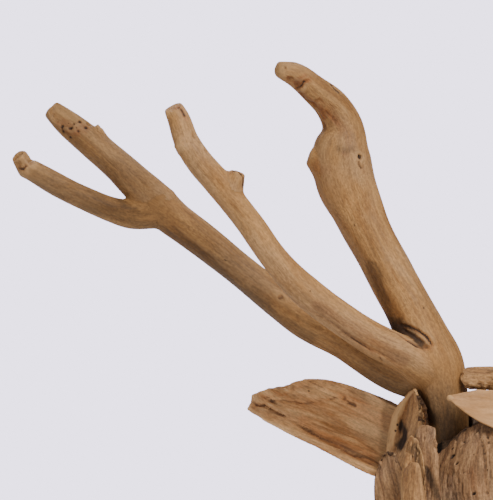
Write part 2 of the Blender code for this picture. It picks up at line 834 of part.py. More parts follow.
def lay_single(name, row, side, pile, group):
    """Lays one of the boards whose place is given, on the right side or mirrored to the left."""
    foot, tip, depths, width, thickness, form = row
    foot, tip = (
        NAPE + Vector((side * share * HEAD_HALF_WIDTH, depth * MM, height * MM))
        for (share, height), depth in zip((foot, tip), depths)
    )
    along = tip - foot
    outward = Vector((-0.3 * side, -1, 0.3)) if name.startswith("ear_guard") else Vector((0, -1, 0.2))
    outward -= along.normalized() * outward.dot(along.normalized())
    seed = 17 * len(name) + (5 if side < 0 else 0)
    matrix = stance(foot + along / 3, outward, along)
    size = (along.length, width * MM, thickness * MM)
    form = {**form, "slant": side * form.get("slant", 0.0)}
    lay(name, size, form, seed, [matrix], (1.0,), pile, group)


def main():
    """Builds the whole bust."""
    clear_scene()
    group = collection("driftwood_stag_head")
    helpers = collection("helpers")
    antlers = [
        antler("antler_right", RIGHT_ANTLER, ANTLER_ROOT_RIGHT, group),
        antler("antler_left", LEFT_ANTLER, ANTLER_ROOT_LEFT, group),
    ]
    ears = [ear("ear_right", -1, group), ear("ear_left", 1, group)]
    bed = add_object("slat_bed", joined("form", [neck_mesh(), head_mesh()]), "bed", group)
    fuse(bed, FORM_VOXEL, 4, 2 * FORM_TRIANGLES)
    tree = tree_of(bed.data)
    bed.data = joined("bed", [bed.data, *fused_boards(tree)])
    bed.data.materials.append(wood("bed"))
    fuse(bed, FORM_VOXEL, 2, FORM_TRIANGLES)
    bed.data = cut_at_ground(bed.data)
    bed.data.materials.append(wood("bed"))
    small = small_pieces(tree, group)
    let_in(bed, antlers + ears + small, helpers)
    pile = Pile()
    for piece in [bed, *antlers, *ears, *small]:
        pile.add(piece.data)

    for name, row in TEMPLE_BOARDS.items():
        if name in ONE_SIDED:
            lay_single(name, row, 1, pile, group)
        else:
            lay_single(f"{name}_right", row, 1, pile, group)
            lay_single(f"{name}_left", row, -1, pile, group)
    for part, (share, angles, length, width) in HEAD_ROWS.items():
        names = [f"{part}_board_{index + 1}" for index in range(len(angles))]
        spots = list(head_spots(tree, share, angles))
        lay_row(names, spots, -head_axis(), (length * MM, width * MM), int(100 * share), pile, group)
    for part, (height, angles, length, width) in NECK_ROWS.items():
        names = [f"{part}_board_{index + 1}" for index in range(len(angles))]
        spots = list(neck_spots(tree, height * MM, angles))
        lay_row(names, spots, Vector((0, 0, 1)), (length * MM, width * MM), height, pile, group)


main()
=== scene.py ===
"""Looks of a stag-head bust built from driftwood.

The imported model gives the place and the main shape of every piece. Here each piece gets its fine form,
which is grain, cracks, knots, worm holes, flaked faces and broken ends, and its wood finish. The stag
faces -Y, +Z is up, and left and right are the stag's own, so its right side is at -X.
"""

import itertools
import logging
import math
from collections.abc import Callable, Mapping
from dataclasses import dataclass
from enum import Enum

import bmesh
import bpy
import numpy as np
from mathutils import Matrix, Vector
from mathutils.bvhtree import BVHTree


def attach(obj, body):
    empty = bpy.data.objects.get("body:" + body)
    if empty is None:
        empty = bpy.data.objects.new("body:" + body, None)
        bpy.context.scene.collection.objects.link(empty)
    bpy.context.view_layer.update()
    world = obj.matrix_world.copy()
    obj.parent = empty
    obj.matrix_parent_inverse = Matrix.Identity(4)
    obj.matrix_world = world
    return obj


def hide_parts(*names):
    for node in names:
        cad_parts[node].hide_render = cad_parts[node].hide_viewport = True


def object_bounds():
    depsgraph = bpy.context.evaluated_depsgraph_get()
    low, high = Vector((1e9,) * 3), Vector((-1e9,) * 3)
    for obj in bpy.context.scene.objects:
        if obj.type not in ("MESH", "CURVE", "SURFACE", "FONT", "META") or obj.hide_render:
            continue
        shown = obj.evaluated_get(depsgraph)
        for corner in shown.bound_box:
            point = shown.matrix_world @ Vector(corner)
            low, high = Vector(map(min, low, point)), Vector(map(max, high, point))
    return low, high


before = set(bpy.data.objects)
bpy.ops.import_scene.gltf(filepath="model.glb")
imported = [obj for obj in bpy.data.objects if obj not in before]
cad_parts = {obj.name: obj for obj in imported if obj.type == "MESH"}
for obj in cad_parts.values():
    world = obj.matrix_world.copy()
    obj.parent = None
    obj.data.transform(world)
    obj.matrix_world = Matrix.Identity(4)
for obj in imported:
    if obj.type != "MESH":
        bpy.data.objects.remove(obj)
CAD_BOX = [list(corner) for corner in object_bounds()]

MM = 0.001
BODY = "root"
LOG = logging.getLogger("driftwood")

Place = tuple[float, float, float]
Pixel = tuple[float, float]
Colour = tuple[float, float, float]
Skin = tuple[np.ndarray, list]
Socket = bpy.types.NodeSocket
Sockets = Mapping[str, Socket]
Value = Socket | float | Place

# Where the antlers leave the crown, and each limb as (x, y, z, radius) in millimetres from there
RIGHT_ROOT = (-39, -8, 343)
LEFT_ROOT = (40, -6, 342)
BARK_LOSS = 1.0
RIGHT_LIMBS = {
    "beam": [
        (3, 4, -24, 12.5), (2, 2, 2, 13), (-2, 0, 22, 15.5), (-7, 0, 40, 17.6), (-15, 2, 58, 15.7),
        (-24, 6, 77, 13.9), (-35.6, 10, 98, 13.9), (-47.4, 14, 121, 14.6), (-56.6, 17, 141, 16.8),
        (-64.8, 18, 160, 19.2), (-67.8, 18, 177, 18.6), (-67, 17, 195, 13.2), (-73.6, 12, 208, 10.6),
        (-86, 5, 219, 8.3), (-97, 0, 228, 6.6), (-108, -5, 231.8, 3.9),
    ],
    "shoulder": [(-67, 17, 158, 14.5), (-77, 16, 170, 13), (-88, 15, 176, 7)],
    "brow_limb": [
        (-6, -2, 32, 14), (-24, -10, 44, 11.4), (-50, -15, 57.5, 9.8), (-75, -18, 74.5, 9.3),
        (-92, -19, 88.5, 9.5), (-110, -20, 107, 8.6), (-128.5, -21, 133, 7.7), (-149, -21, 159, 8),
        (-160, -20, 171, 7.6), (-168.5, -18, 184, 7.1), (-174, -15, 199, 6.5), (-177.5, -13, 206, 5.4),
    ],
    "brow_knot": [(-140, -21, 152, 7.5), (-135.5, -22, 164.5, 5)],
    "outer_limb": [
        (-5, 6, 28, 14), (-32, 8, 34, 12.3), (-65, 12, 54, 11.2), (-93, 17, 69, 11),
        (-134, 25, 101, 10), (-166, 30, 127, 10.6), (-187, 32, 143, 12),
    ],
    "outer_tip": [
        (-183, 32, 141, 11.4), (-204, 30, 138, 9), (-218, 27, 141.2, 6.9), (-238, 22, 149.6, 6),
        (-260, 16, 160.5, 6.1), (-275, 11, 168.5, 5.8),
    ],
    "outer_tip_knot": [(-274, 12, 168, 5.2), (-278, 11, 176, 4.2)],
    "upper_tip": [
        (-185, 32, 143, 11.5), (-201.5, 34, 157, 10), (-213.8, 37, 169, 9.3), (-233, 42, 186, 9.1),
        (-248, 45, 198, 7.8), (-259, 47, 207.6, 5.9),
    ],
    "upper_tip_knot": [(-225, 41, 184, 5), (-228.5, 40, 193, 2.8)],
}
LEFT_LIMBS = {
    "beam": [
        (-3, 4, -24, 12.5), (-2, 2, 2, 13.4), (2, 1, 22, 15.8), (9, 2, 42, 17.6), (19, 6, 64, 16.4),
        (33, 12, 90, 15.4), (50, 18, 119, 14.6), (66, 22, 146, 15.2), (75, 23, 166, 15.8),
        (82, 21, 186, 12.6), (84, 15, 206, 10.4), (92, 6, 222, 8.6), (104, -2, 233, 6),
    ],
    "shoulder": [(74, 23, 160, 12.5), (88, 25, 170, 9.5), (97, 26, 181, 4.6)],
    "brow_limb": [
        (8, -2, 34, 13.6), (27, -10, 47, 11.2), (54, -17, 60, 10.2), (84, -21, 74, 9.6),
        (109, -24, 96, 8.8), (131, -27, 124, 8.2), (146, -28, 151, 7.6), (152, -25, 176, 6.6),
        (163, -20, 193, 4.8),
    ],
    "brow_knot": [(132, -27, 126, 7), (144, -31, 129, 3.6)],
    "outer_limb": [
        (6, 6, 28, 14), (35, 9, 37, 12), (72, 14, 52, 11), (112, 21, 76, 10.4), (151, 28, 108, 10.2),
        (178, 32, 131, 11.4),
    ],
    "outer_tip": [
        (174, 32, 128, 10.6), (198, 29, 133, 8.2), (224, 23, 141, 6.8), (249, 17, 157, 6),
        (262, 13, 165, 4.6),
    ],
    "upper_tip": [
        (175, 32, 129, 10.8), (193, 37, 152, 9.6), (213, 44, 174, 8.6), (229, 48, 199, 7.4),
        (234, 49, 211, 5.2),
    ],
}


def placed(name: str, data: bpy.types.ID) -> bpy.types.Object:
    """A new object in the scene.

    Args:
        name: Its name.
        data: Its mesh, light or camera.

    Returns:
        The object.
    """
    made = bpy.data.objects.new(name, data)
    bpy.context.scene.collection.objects.link(made)
    return made


@dataclass(frozen=True)
class PhotoView:
    """Where the photograph was taken from, and how its pixels lie over the bust.

    Args:
        width: The photograph's width in pixels.
        height: Its height in pixels.
        pixel: The size of a pixel in metres, at the antlers' depth.
        distance: From the camera to that depth in metres.
        eye: The camera's place in metres.
        sensor: The camera's sensor in millimetres.
        blur: How many pixels off a point may lie to count as at a pixel.
    """

    width: int = 493
    height: int = 500
    pixel: float = 0.65 * MM
    distance: float = 2.4
    eye: Place = (-0.168675, -2.408, 0.45725)
    sensor: float = 36.0
    blur: float = 2.0

    def pixels(self, points: np.ndarray) -> np.ndarray:
        """The pixels at which points show.

        Args:
            points: Places in metres, one a row.

        Returns:
            One (x, y) a row.
        """
        scale = self.distance / (points[:, 1] - self.eye[1]) / self.pixel
        across = self.width / 2 + (points[:, 0] - self.eye[0]) * scale
        down = self.height / 2 - (points[:, 2] - self.eye[2]) * scale
        return np.column_stack([across, down])

    def under(self, surface: "Surface", pixel: Pixel) -> int:
        """The point of a surface that shows at a pixel.

        Args:
            surface: The surface that is looked at.
            pixel: Its place in the photograph.

        Returns:
            The point's index.
        """
        off = np.hypot(*(self.pixels(surface.points) - pixel).T)
        near = np.flatnonzero(off < max(self.blur, off.min() + 1.0))
        return int(near[np.argmin(surface.points[near, 1])])

    def camera(self) -> None:
        """Makes the camera and sets it as the scene's."""
        data = bpy.data.cameras.new("photo_camera")
        data.sensor_width = self.sensor
        data.lens = self.sensor * self.distance / (self.height * self.pixel)
        made = placed("photo_camera", data)
        made.location = self.eye
        made.rotation_euler = (math.radians(90), 0, 0)
        bpy.context.scene.camera = made


PHOTO = PhotoView()


@dataclass(frozen=True)
class Noise:
    """Smooth random values over space, alike in every run.

    Args:
        seed: The number that sets one noise apart from another.
    """

    seed: int

    def corner(self, cells: np.ndarray) -> np.ndarray:
        """The random values from -1 to 1 at whole-numbered places.

        Args:
            cells: Whole-numbered places, one a row.

        Returns:
            One value a row.
        """
        mixed = np.full(len(cells), (self.seed * 0x9E3779B1 + 0x7F4A7C15) & 0xFFFFFFFF, np.uint32)
        for axis, factor in enumerate((0x8DA6B343, 0xD8163841, 0xCB1AB31F)):
            mixed ^= cells[:, axis].astype(np.int64).astype(np.uint32) * np.uint32(factor)
        for shift, factor in ((15, 0x85EBCA6B), (13, 0xC2B2AE35), (16, 1)):
            mixed ^= mixed >> np.uint32(shift)
            mixed *= np.uint32(factor)
        return mixed / 2.0**31 - 1

    def at(self, places: np.ndarray) -> np.ndarray:
        """Smooth values at any places.

        Args:
            places: One place a row, with the noise's cells one unit wide.

        Returns:
            One value a row, mostly from -0.7 to 0.7.
        """
        base = np.floor(places)
        part = places - base
        ease = part**3 * (part * (part * 6 - 15) + 10)
        total = np.zeros(len(places))
        for step in itertools.product((0, 1), repeat=3):
            weight = np.prod(np.where(step, ease, 1 - ease), axis=1)
            total += weight * self.corner(base + step)
        return total

    def layered(self, places: np.ndarray, layers: int) -> np.ndarray:
        """Several layers of noise, each twice as fine and half as strong.

        Args:
            places: One place a row.
            layers: How many layers.

        Returns:
            One value a row.
        """
        return sum(self.at(places * 2**layer + 17.3 * layer) * 0.5**layer for layer in range(layers))


def eased(values: np.ndarray, low: float, high: float) -> np.ndarray:
    """A smooth step from 0 at low to 1 at high.

    Args:
        values: Any numbers.
        low: Where the step begins.
        high: Where it ends, which may be below low.

    Returns:
        As many numbers from 0 to 1.
    """
    share = np.clip((values - low) / (high - low), 0, 1)
    return share * share * (3 - 2 * share)


class Surface:
    """The skin of one piece of wood while it is worked.

    grain holds each point's place in millimetres across, across and along the grain, axes the three
    directions of that, and marks what the finish reads: rubbed edges, which on the ear guard's rim are a
    painted highlight; dirty hollows, which in the ear guard's hollow and the antler's crevice are painted
    shade; stained wood; shade, which is painted shade where other parts shade the wood and on undersides,
    and darker wood at some knots, bands and pits; spots without streaks; and tone, which is painted shade
    at the antlers' feet and painted light on the right temple slat.
    """

    MARKS = ("wear_and_painted_highlight", "hollow", "stain", "shade", "plain", "tone")
    GROUND = 1.0 * MM

    def __init__(self, points: np.ndarray, quads: np.ndarray) -> None:
        """Takes the points in metres and the four corners of each face.

        Args:
            points: The corners in metres, one a row.
            quads: The four corners of each face, one face a row.
        """
        self.points = points
        self.quads = quads
        count = len(points)
        pairs = np.concatenate([quads[:, [corner, (corner + 1) % 4]] for corner in range(4)])
        codes = np.unique(pairs.min(axis=1) * count + pairs.max(axis=1))
        self.edges = np.column_stack([codes // count, codes % count])
        self.degree = np.bincount(self.edges.ravel(), minlength=count)
        self.grain = np.zeros((count, 3))
        self.axes = np.broadcast_to(np.eye(3), (count, 3, 3))
        self.marks = {name: np.zeros(count) for name in self.MARKS}

    def mean_of_neighbours(self, values: np.ndarray) -> np.ndarray:
        """The mean of what the neighbours of each point hold.

        Args:
            values: One row of numbers a point.

        Returns:
            As many rows.
        """
        start, end = self.edges.T
        count = len(self.points)
        totals = [
            np.bincount(start, column[end], count) + np.bincount(end, column[start], count)
            for column in values.T
        ]
        return np.column_stack(totals) / self.degree[:, None]

    def normals(self) -> np.ndarray:
        """The outward direction at each point.

        Returns:
            One unit vector a point.
        """
        corners = self.points[self.quads]
        facets = np.cross(corners[:, 2] - corners[:, 0], corners[:, 3] - corners[:, 1])
        flat = self.quads.ravel()
        totals = [np.bincount(flat, np.repeat(facets[:, axis], 4), len(self.points)) for axis in range(3)]
        total = np.column_stack(totals)
        return total / np.maximum(np.linalg.norm(total, axis=1), 1e-12)[:, None]

    def relax(self, rounds: int, strength: float = 0.5) -> None:
        """Smooths the skin.

        Args:
            rounds: How many times each point moves towards its neighbours.
            strength: How far it moves each time, as a share of the way.
        """
        for _ in range(rounds):
            self.points = self.points + (self.mean_of_neighbours(self.points) - self.points) * strength

    def push(self, height: np.ndarray) -> None:
        """Moves each point outward by a height in millimetres."""
        self.points = self.points + self.normals() * (height * MM)[:, None]

    def standing_out(self, rounds: int) -> np.ndarray:
        """How far each point stands out of its smoothed surroundings, in millimetres.

        Args:
            rounds: How broad the surroundings are.

        Returns:
            One height a point.
        """
        around, strength = self.points, 0.6
        for _ in range(rounds):
            around = around + (self.mean_of_neighbours(around) - around) * strength
        return ((self.points - around) * self.normals()).sum(axis=1) / MM

    def mark(self, name: str, strength: np.ndarray) -> None:
        """Makes a mark at least as strong as strength."""
        self.marks[name] = np.maximum(self.marks[name], strength)

    def off_pixel(self, pixel: Pixel) -> np.ndarray:
        """How far each point lies from what shows at a pixel, in millimetres."""
        return np.linalg.norm(self.points - self.points[PHOTO.under(self, pixel)], axis=1) / MM

    def off_line(self, pixels: tuple[Pixel, ...]) -> tuple[np.ndarray, np.ndarray]:
        """How far each point lies from a line through what shows at some pixels.

        Args:
            pixels: The pixels in their order.

        Returns:
            The distances in millimetres, and how far along the line the nearest place is, from 0 to 1.
        """
        line = np.array([self.points[PHOTO.under(self, pixel)] for pixel in pixels])
        best = np.full(len(self.points), np.inf)
        share = np.zeros(len(self.points))
        lengths = np.linalg.norm(np.diff(line, axis=0), axis=1)
        total, before = max(lengths.sum(), 1e-9), 0.0
        for start, end, length in zip(line, line[1:], lengths):
            way = (end - start) / max(length, 1e-9)
            along = np.clip((self.points - start) @ way, 0, length)
            off = np.linalg.norm(self.points - start - along[:, None] * way, axis=1) / MM
            nearer = off < best
            best = np.where(nearer, off, best)
            share = np.where(nearer, (before + along) / total, share)
            before += length
        return best, share

    def read_wear(self, scale_mm: float, rounds: int, soil: float) -> None:
        """Marks where edges are rubbed pale and where dirt sits, from the finished form.

        Args:
            scale_mm: How far out or in counts fully, in millimetres.
            rounds: How broad the surroundings are that count.
            soil: How dark hollows get, from 0 to 1.
        """
        out = self.standing_out(rounds)
        self.mark("wear_and_painted_highlight", np.clip(out / scale_mm, 0, 1))
        self.mark("hollow", np.clip(-out / scale_mm, 0, 1) * soil)

    def keep_in_box(self) -> None:
        """Keeps the points inside the object's own box and on or over the ground."""
        low, high = np.array(CAD_BOX[0]), np.array(CAD_BOX[1])
        self.points = np.clip(self.points, low, high)
        on_ground = self.points[:, 2] < self.GROUND
        self.points[on_ground, 2] = low[2]

    def piece(self, name: str, wood: "Wood", slot: str, *nodes: str) -> None:
        """Turns the skin into a piece of the bust.

        Args:
            name: The piece's name.
            wood: Its finish.
            slot: The record's material slot; not used.
            nodes: The solids that it stands for.
        """
        self.keep_in_box()
        mesh = bpy.data.meshes.new(name)
        mesh.from_pydata(self.points.tolist(), [], self.quads.tolist())
        mesh.shade_smooth()
        mesh.attributes.new("grain", "FLOAT_VECTOR", "POINT").data.foreach_set("vector", self.grain.ravel())
        for mark, strength in self.marks.items():
            mesh.attributes.new(mark, "FLOAT", "POINT").data.foreach_set("value", strength)
        mesh.materials.append(FINISHES.of(wood))
        made = placed(name, mesh)
        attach(made, BODY)
        if nodes:
            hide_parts(*nodes)
        LOG.info("%s: %d faces", name, len(self.quads))


SORTED_DECIMALS = 7


def melted(mesh: bpy.types.Mesh, voxel: float, rounding: int = 0) -> Surface:
    """Melts closed shapes into one skin of even, four-sided faces.

    Args:
        mesh: The shapes, which may overlap.
        voxel: The width of a face in metres.
        rounding: How often the shapes are subdivided first.

    Returns:
        The skin, its points in an order that is alike in every run.
    """
    lump = placed("lump", mesh)
    if rounding:
        smoother = lump.modifiers.new("round", "SUBSURF")
        smoother.levels = smoother.render_levels = rounding
    remesh = lump.modifiers.new("melt", "REMESH")
    remesh.mode = "VOXEL"
    remesh.voxel_size = voxel
    bpy.context.view_layer.update()
    even = lump.evaluated_get(bpy.context.evaluated_depsgraph_get()).to_mesh()
    points = np.empty(len(even.vertices) * 3)
    even.vertices.foreach_get("co", points)
    quads = np.empty(len(even.polygons) * 4, dtype=np.int32)
    even.polygons.foreach_get("vertices", quads)
    bpy.data.objects.remove(lump)
    points, quads = points.reshape(-1, 3), quads.reshape(-1, 4).astype(np.int64)
    order = np.lexsort(np.round(points, SORTED_DECIMALS).T)
    rank = np.empty(len(order), dtype=np.int64)
    rank[order] = np.arange(len(order))
    quads = rank[quads]
    turns = (quads.argmin(axis=1)[:, None] + np.arange(4)) % 4
    quads = np.take_along_axis(quads, turns, axis=1)
    return Surface(points[order], quads[np.lexsort(quads.T[::-1])])


SEAM = 0.02 * MM
FLAT_ANGLE = 0.6
SKEW_ANGLE = 0.9
SHARP_ANGLE = math.radians(45)
UNDERSIDE = 0.2 * MM


def node_shape(node: str, crease: float) -> bpy.types.Mesh:
    """A copy of a solid's mesh with whole faces, ready to be rounded.

    Args:
        node: The solid's name.
        crease: How sharp its edges stay, from 0 to 1.

    Returns:
        The mesh.
    """
    bm = bmesh.new()
    bm.from_mesh(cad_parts[node].data)
    bmesh.ops.remove_doubles(bm, verts=bm.verts, dist=SEAM)
    limits = {"angle_face_threshold": FLAT_ANGLE, "angle_shape_threshold": SKEW_ANGLE}
    bmesh.ops.join_triangles(bm, faces=bm.faces, **limits)
    bmesh.ops.recalc_face_normals(bm, faces=bm.faces)
    sharp = bm.edges.layers.float.new("crease_edge")
    for edge in bm.edges:
        if edge.calc_face_angle(0.0) > SHARP_ANGLE:
            edge[sharp] = crease
        if all(vert.co.z < UNDERSIDE for vert in edge.verts):
            edge[sharp] = 1.0
    mesh = bpy.data.meshes.new(node)
    bm.to_mesh(mesh)
    bm.free()
    return mesh


def tube(centres: np.ndarray, wide: np.ndarray, high: np.ndarray, sides: int) -> Skin:
    """A closed skin of rings, of four-sided faces only.

    Args:
        centres: The middle of each ring.
        wide: Each ring's half axis one way.
        high: Its half axis square to that.
        sides: How many points a ring has, an even number.

    Returns:
        The points and the faces.
    """
    turns = np.linspace(0, 2 * math.pi, sides, endpoint=False)
    rings = (
        centres[:, None]
        + wide[:, None] * np.cos(turns)[None, :, None]
        + high[:, None] * np.sin(turns)[None, :, None]
    )
    faces = []
    for ring in range(len(centres) - 1):
        for side in range(sides):
            after = (side + 1) % sides
            start = ring * sides
            faces.append((start + side, start + after, start + sides + after, start + sides + side))
    last = (len(centres) - 1) * sides
    for step in range(sides // 2 - 1):
        cap = (step, sides - 1 - step, sides - 2 - step, step + 1)
        faces.append(cap)
        faces.append(tuple(last + index for index in reversed(cap)))
    return rings.reshape(-1, 3), faces


def gathered(skins: list[Skin]) -> Skin:
    """Several skins as one.

    Args:
        skins: The points and the faces of each.

    Returns:
        All points and all faces.
    """
    faces, count = [], 0
    for points, own in skins:
        faces += [tuple(index + count for index in face) for face in own]
        count += len(points)
    return np.vstack([points for points, _ in skins]), faces


class Limb:
    """One limb of an antler, as a smooth route with a radius and a frame at each step."""

    STEP = 1.5
    SIDES = 20
    END_WIDTH = 0.82
    END_LENGTH = 0.25
    BATCH = 8000

    def __init__(self, root: Place, points: list[tuple]) -> None:
        """Takes the antler's root and the limb's points from it, in millimetres.

        Args:
            root: The antler's root.
            points: The limb's points and radii, counted from the root.
        """
        knots = np.array(points, dtype=float)
        knots[:, :3] += root
        knots[:, 3] += BARK_LOSS
        spans = np.linalg.norm(np.diff(knots[:, :3], axis=0), axis=1)
        slopes = np.diff(knots, axis=0) / spans[:, None]
        tangents = np.vstack([slopes[:1], (slopes[1:] + slopes[:-1]) / 2, slopes[-1:]])
        rows = []
        for first, second, start, end, span in zip(knots, knots[1:], tangents, tangents[1:], spans):
            share = np.linspace(0, 1, max(2, round(span / self.STEP)), endpoint=False)[:, None]
            rows.append(
                (2 * share**3 - 3 * share**2 + 1) * first
                + (share**3 - 2 * share**2 + share) * span * start
                + (3 * share**2 - 2 * share**3) * second
                + (share**3 - share**2) * span * end
            )
        rows.append(knots[-1:])
        route = np.vstack(rows)
        self.centres, self.radii = route[:, :3], route[:, 3]
        along = np.gradient(self.centres, axis=0)
        self.along = along / np.linalg.norm(along, axis=1)[:, None]
        steps = np.linalg.norm(np.diff(self.centres, axis=0), axis=1)
        self.lengths = np.concatenate([[0], np.cumsum(steps)])
        self.side = self.carried_side()
        self.front = np.cross(self.along, self.side)

    def carried_side(self) -> np.ndarray:
        """A direction square to the route, carried along it without a twist.

        Returns:
            One unit vector a step.
        """
        side = np.cross(self.along[0], (0, 1, 0))
        rows = []
        for way in self.along:
            side = side - way * (side @ way)
            side = side / np.linalg.norm(side)
            rows.append(side)
        return np.array(rows)

    def skin(self) -> Skin:
        """The limb as a closed tube in metres, with a blunt, rounded end.

        Returns:
            Its points and faces.
        """
        beyond = self.along[-1:] * self.radii[-1] * self.END_LENGTH
        centres = np.vstack([self.centres, self.centres[-1:] + beyond])
        radii = np.append(self.radii, self.radii[-1] * self.END_WIDTH)
        side = np.vstack([self.side, self.side[-1:]]) * radii[:, None]
        front = np.vstack([self.front, self.front[-1:]]) * radii[:, None]
        return tube(centres * MM, side * MM, front * MM, self.SIDES)

    def seen_from(self, points: np.ndarray) -> tuple[np.ndarray, np.ndarray]:
        """How points lie to the limb.

        Args:
            points: Places in metres, one a row.

        Returns:
            The distance to the route as a share of the radius there, and the route's nearest step.
        """
        nearest = np.empty(len(points), dtype=int)
        off = np.empty(len(points))
        for start in range(0, len(points), self.BATCH):
            part = slice(start, start + self.BATCH)
            apart = np.linalg.norm(points[part, None] / MM - self.centres[None], axis=2)
            nearest[part], off[part] = apart.argmin(axis=1), apart.min(axis=1)
        return off / self.radii[nearest], nearest


@dataclass(frozen=True)
class Relief:
    """How the weather has cut one kind of surface, in millimetres.

    Args:
        swell: Height of the broad unevenness.
        groove: Depth of the grooves along the grain.
        groove_width: Their width.
        flake: Depth where a layer of wood has split away.
        pits: Depth of the eaten, spongy spots.
        chew: How far the ends are broken back.
        cracks: How many long cracks.
        holes: How many worm holes.
    """

    swell: float
    groove: float
    groove_width: float = 2.0
    flake: float = 0.0
    pits: float = 0.0
    chew: float = 0.0
    cracks: int = 0
    holes: int = 0

    SWELL_SIZE = (15, 15, 60)
    GROOVE_LENGTH = 24
    PATCH_SIZE = (9, 9, 60)
    FLAKE_SIZE = (12, 12, 90)
    PIT_SIZE = (2.6, 2.6, 5.0)
    EATEN_SIZE = (14, 14, 30)

    def height(self, grain: np.ndarray, seed: int) -> tuple[np.ndarray, np.ndarray]:
        """The relief at places in the grain.

        Args:
            grain: Places across, across and along the grain, in millimetres.
            seed: The piece's own number.

        Returns:
            The heights in millimetres, and how much of that is a groove or a pit, from 0 to 1.
        """
        width = self.groove_width
        swell = Noise(seed).layered(grain / self.SWELL_SIZE, 2) * self.swell
        lines = Noise(seed + 1).layered(grain / (width, width, self.GROOVE_LENGTH * width), 3)
        patches = 0.5 + 0.7 * Noise(seed + 2).at(grain / self.PATCH_SIZE)
        cut = np.clip(lines * 1.7 + 0.05, 0, 1) * np.clip(patches, 0.15, 1)
        flaked = eased(Noise(seed + 3).layered(grain / self.FLAKE_SIZE, 2), 0.08, 0.14)
        eaten = eased(Noise(seed + 4).layered(grain / self.PIT_SIZE, 2), 0.28, 0.62)
        eaten = eaten * eased(Noise(seed + 5).at(grain / self.EATEN_SIZE), -0.1, 0.35)
        height = swell - cut * self.groove - flaked * self.flake - eaten * self.pits
        depth = self.groove * cut + self.pits * eaten
        return height, np.clip(depth / max(self.groove + self.pits, 0.01), 0, 1)


class Mark:
    """Something that happened to the wood at one place, set on a surface by apply."""

    def apply(self, surface: Surface) -> None:
        """Cuts or raises the mark on a surface."""
        raise NotImplementedError


@dataclass(frozen=True)
class Crack(Mark):
    """A crack, groove or crevice through pixels of the photograph.

    Args:
        pixels: Its route.
        width: Its half width in millimetres.
        depth: How deep it goes in millimetres.
        dark: How dark it is inside, from 0 to 1.
        red: How far the wood beside it is stained, from 0 to 1.
    """

    pixels: tuple[Pixel, ...]
    width: float
    depth: float
    dark: float
    red: float = 0.0

    WANDER = 0.35
    SHADOW = (1.3, 0.2)
    STAIN = (3.5, 0.8)
    CUT = 1.5

    def apply(self, surface: Surface) -> None:
        """Cuts the crack.

        Args:
            surface: The skin that it is on.
        """
        off, share = surface.off_line(self.pixels)
        off = off / self.width + self.WANDER * Noise(len(self.pixels)).at(surface.points / (2.5 * MM))
        fade = eased(share, -0.02, 0.12) * eased(share, 1.02, 0.88)
        surface.mark("hollow", eased(off, *self.SHADOW) * fade * self.dark)
        surface.mark("stain", eased(off, *self.STAIN) * self.red)
        surface.push(-self.depth * eased(off, self.CUT, 0.0) * fade)


@dataclass(frozen=True)
class Swelling(Mark):
    """A rounded bump, or a dent where rise is negative.

    Args:
        pixel: Its place in the photograph.
        radius: In millimetres.
        rise: How far its middle stands out, in millimetres.
        stain: How far the wood is stained there, from 0 to 1.
    """

    pixel: Pixel
    radius: float
    rise: float
    stain: float = 0.0

    def apply(self, surface: Surface) -> None:
        """Raises or sinks the place.

        Args:
            surface: The skin that it is on.
        """
        off = surface.off_pixel(self.pixel)
        off = off + 0.15 * self.radius * Noise(3).at(surface.points / (2 * MM))
        surface.mark("stain", eased(off, self.radius * 1.3, self.radius * 0.5) * self.stain)
        surface.push(self.rise * eased(off, self.radius, 0))


@dataclass(frozen=True)
class Hole(Mark):
    """A round hole, such as a worm's.

    Args:
        pixel: Its place in the photograph.
        radius: In millimetres.
        depth: In millimetres.
    """

    pixel: Pixel
    radius: float
    depth: float

    def apply(self, surface: Surface) -> None:
        """Sinks the hole.

        Args:
            surface: The skin that it is on.
        """
        off = surface.off_pixel(self.pixel)
        surface.mark("hollow", 0.8 * eased(off, self.radius * 1.5, self.radius * 0.6))
        surface.push(-self.depth * eased(off, self.radius * 1.4, self.radius * 0.3))


@dataclass(frozen=True)
class Knot(Mark):
    """The stub of a twig, with the grain flowing round it.

    Args:
        pixel: Its place in the photograph.
        radius: In millimetres.
        rise: How far its middle stands out, in millimetres.
        rim: How deep the ring round it is, in millimetres.
        dark: How dark that ring is, from 0 to 1.
        length: How long it is along the grain, as a share of its width.
    """

    pixel: Pixel
    radius: float
    rise: float
    rim: float
    dark: float
    length: float = 1.35

    BEND_START, BEND_END = 6, 3
    STUB_START, STUB_END = 1.5, 0.9
    RING_WIDTH = 0.28
    RINGS = 2.5
    STAINED = 0.6

    def apply(self, surface: Surface) -> None:
        """Bends the grain and shapes the stub.

        Args:
            surface: The skin that it is on.
        """
        index = PHOTO.under(surface, self.pixel)
        along = surface.axes[index][2]
        across = np.cross(surface.normals()[index], along)
        across = across / np.linalg.norm(across)
        apart = (surface.points - surface.points[index]) / MM
        side, ahead = apart @ across, apart @ along / self.length
        off = np.hypot(side, ahead)
        whole = np.linalg.norm(apart, axis=1)
        near = eased(whole, self.radius * self.BEND_START, self.radius * self.BEND_END)
        bend = -side * self.radius**2 / np.maximum(off, self.radius) ** 2 * near
        shift = bend[:, None] * across
        for column in range(2):
            surface.grain[:, column] += (shift * surface.axes[:, column]).sum(axis=1)
        within = eased(whole, self.radius * self.STUB_START, self.radius * self.STUB_END)
        surface.grain[:, 0] += within * off * self.RINGS
        ring = np.exp(-(((off - self.radius) / (self.RING_WIDTH * self.radius)) ** 2)) * within
        dome = eased(off, self.radius, 0) * within
        surface.mark("hollow", ring * self.dark)
        surface.mark("stain", within * self.STAINED * self.dark)
        surface.push(dome * self.rise - ring * self.rim)


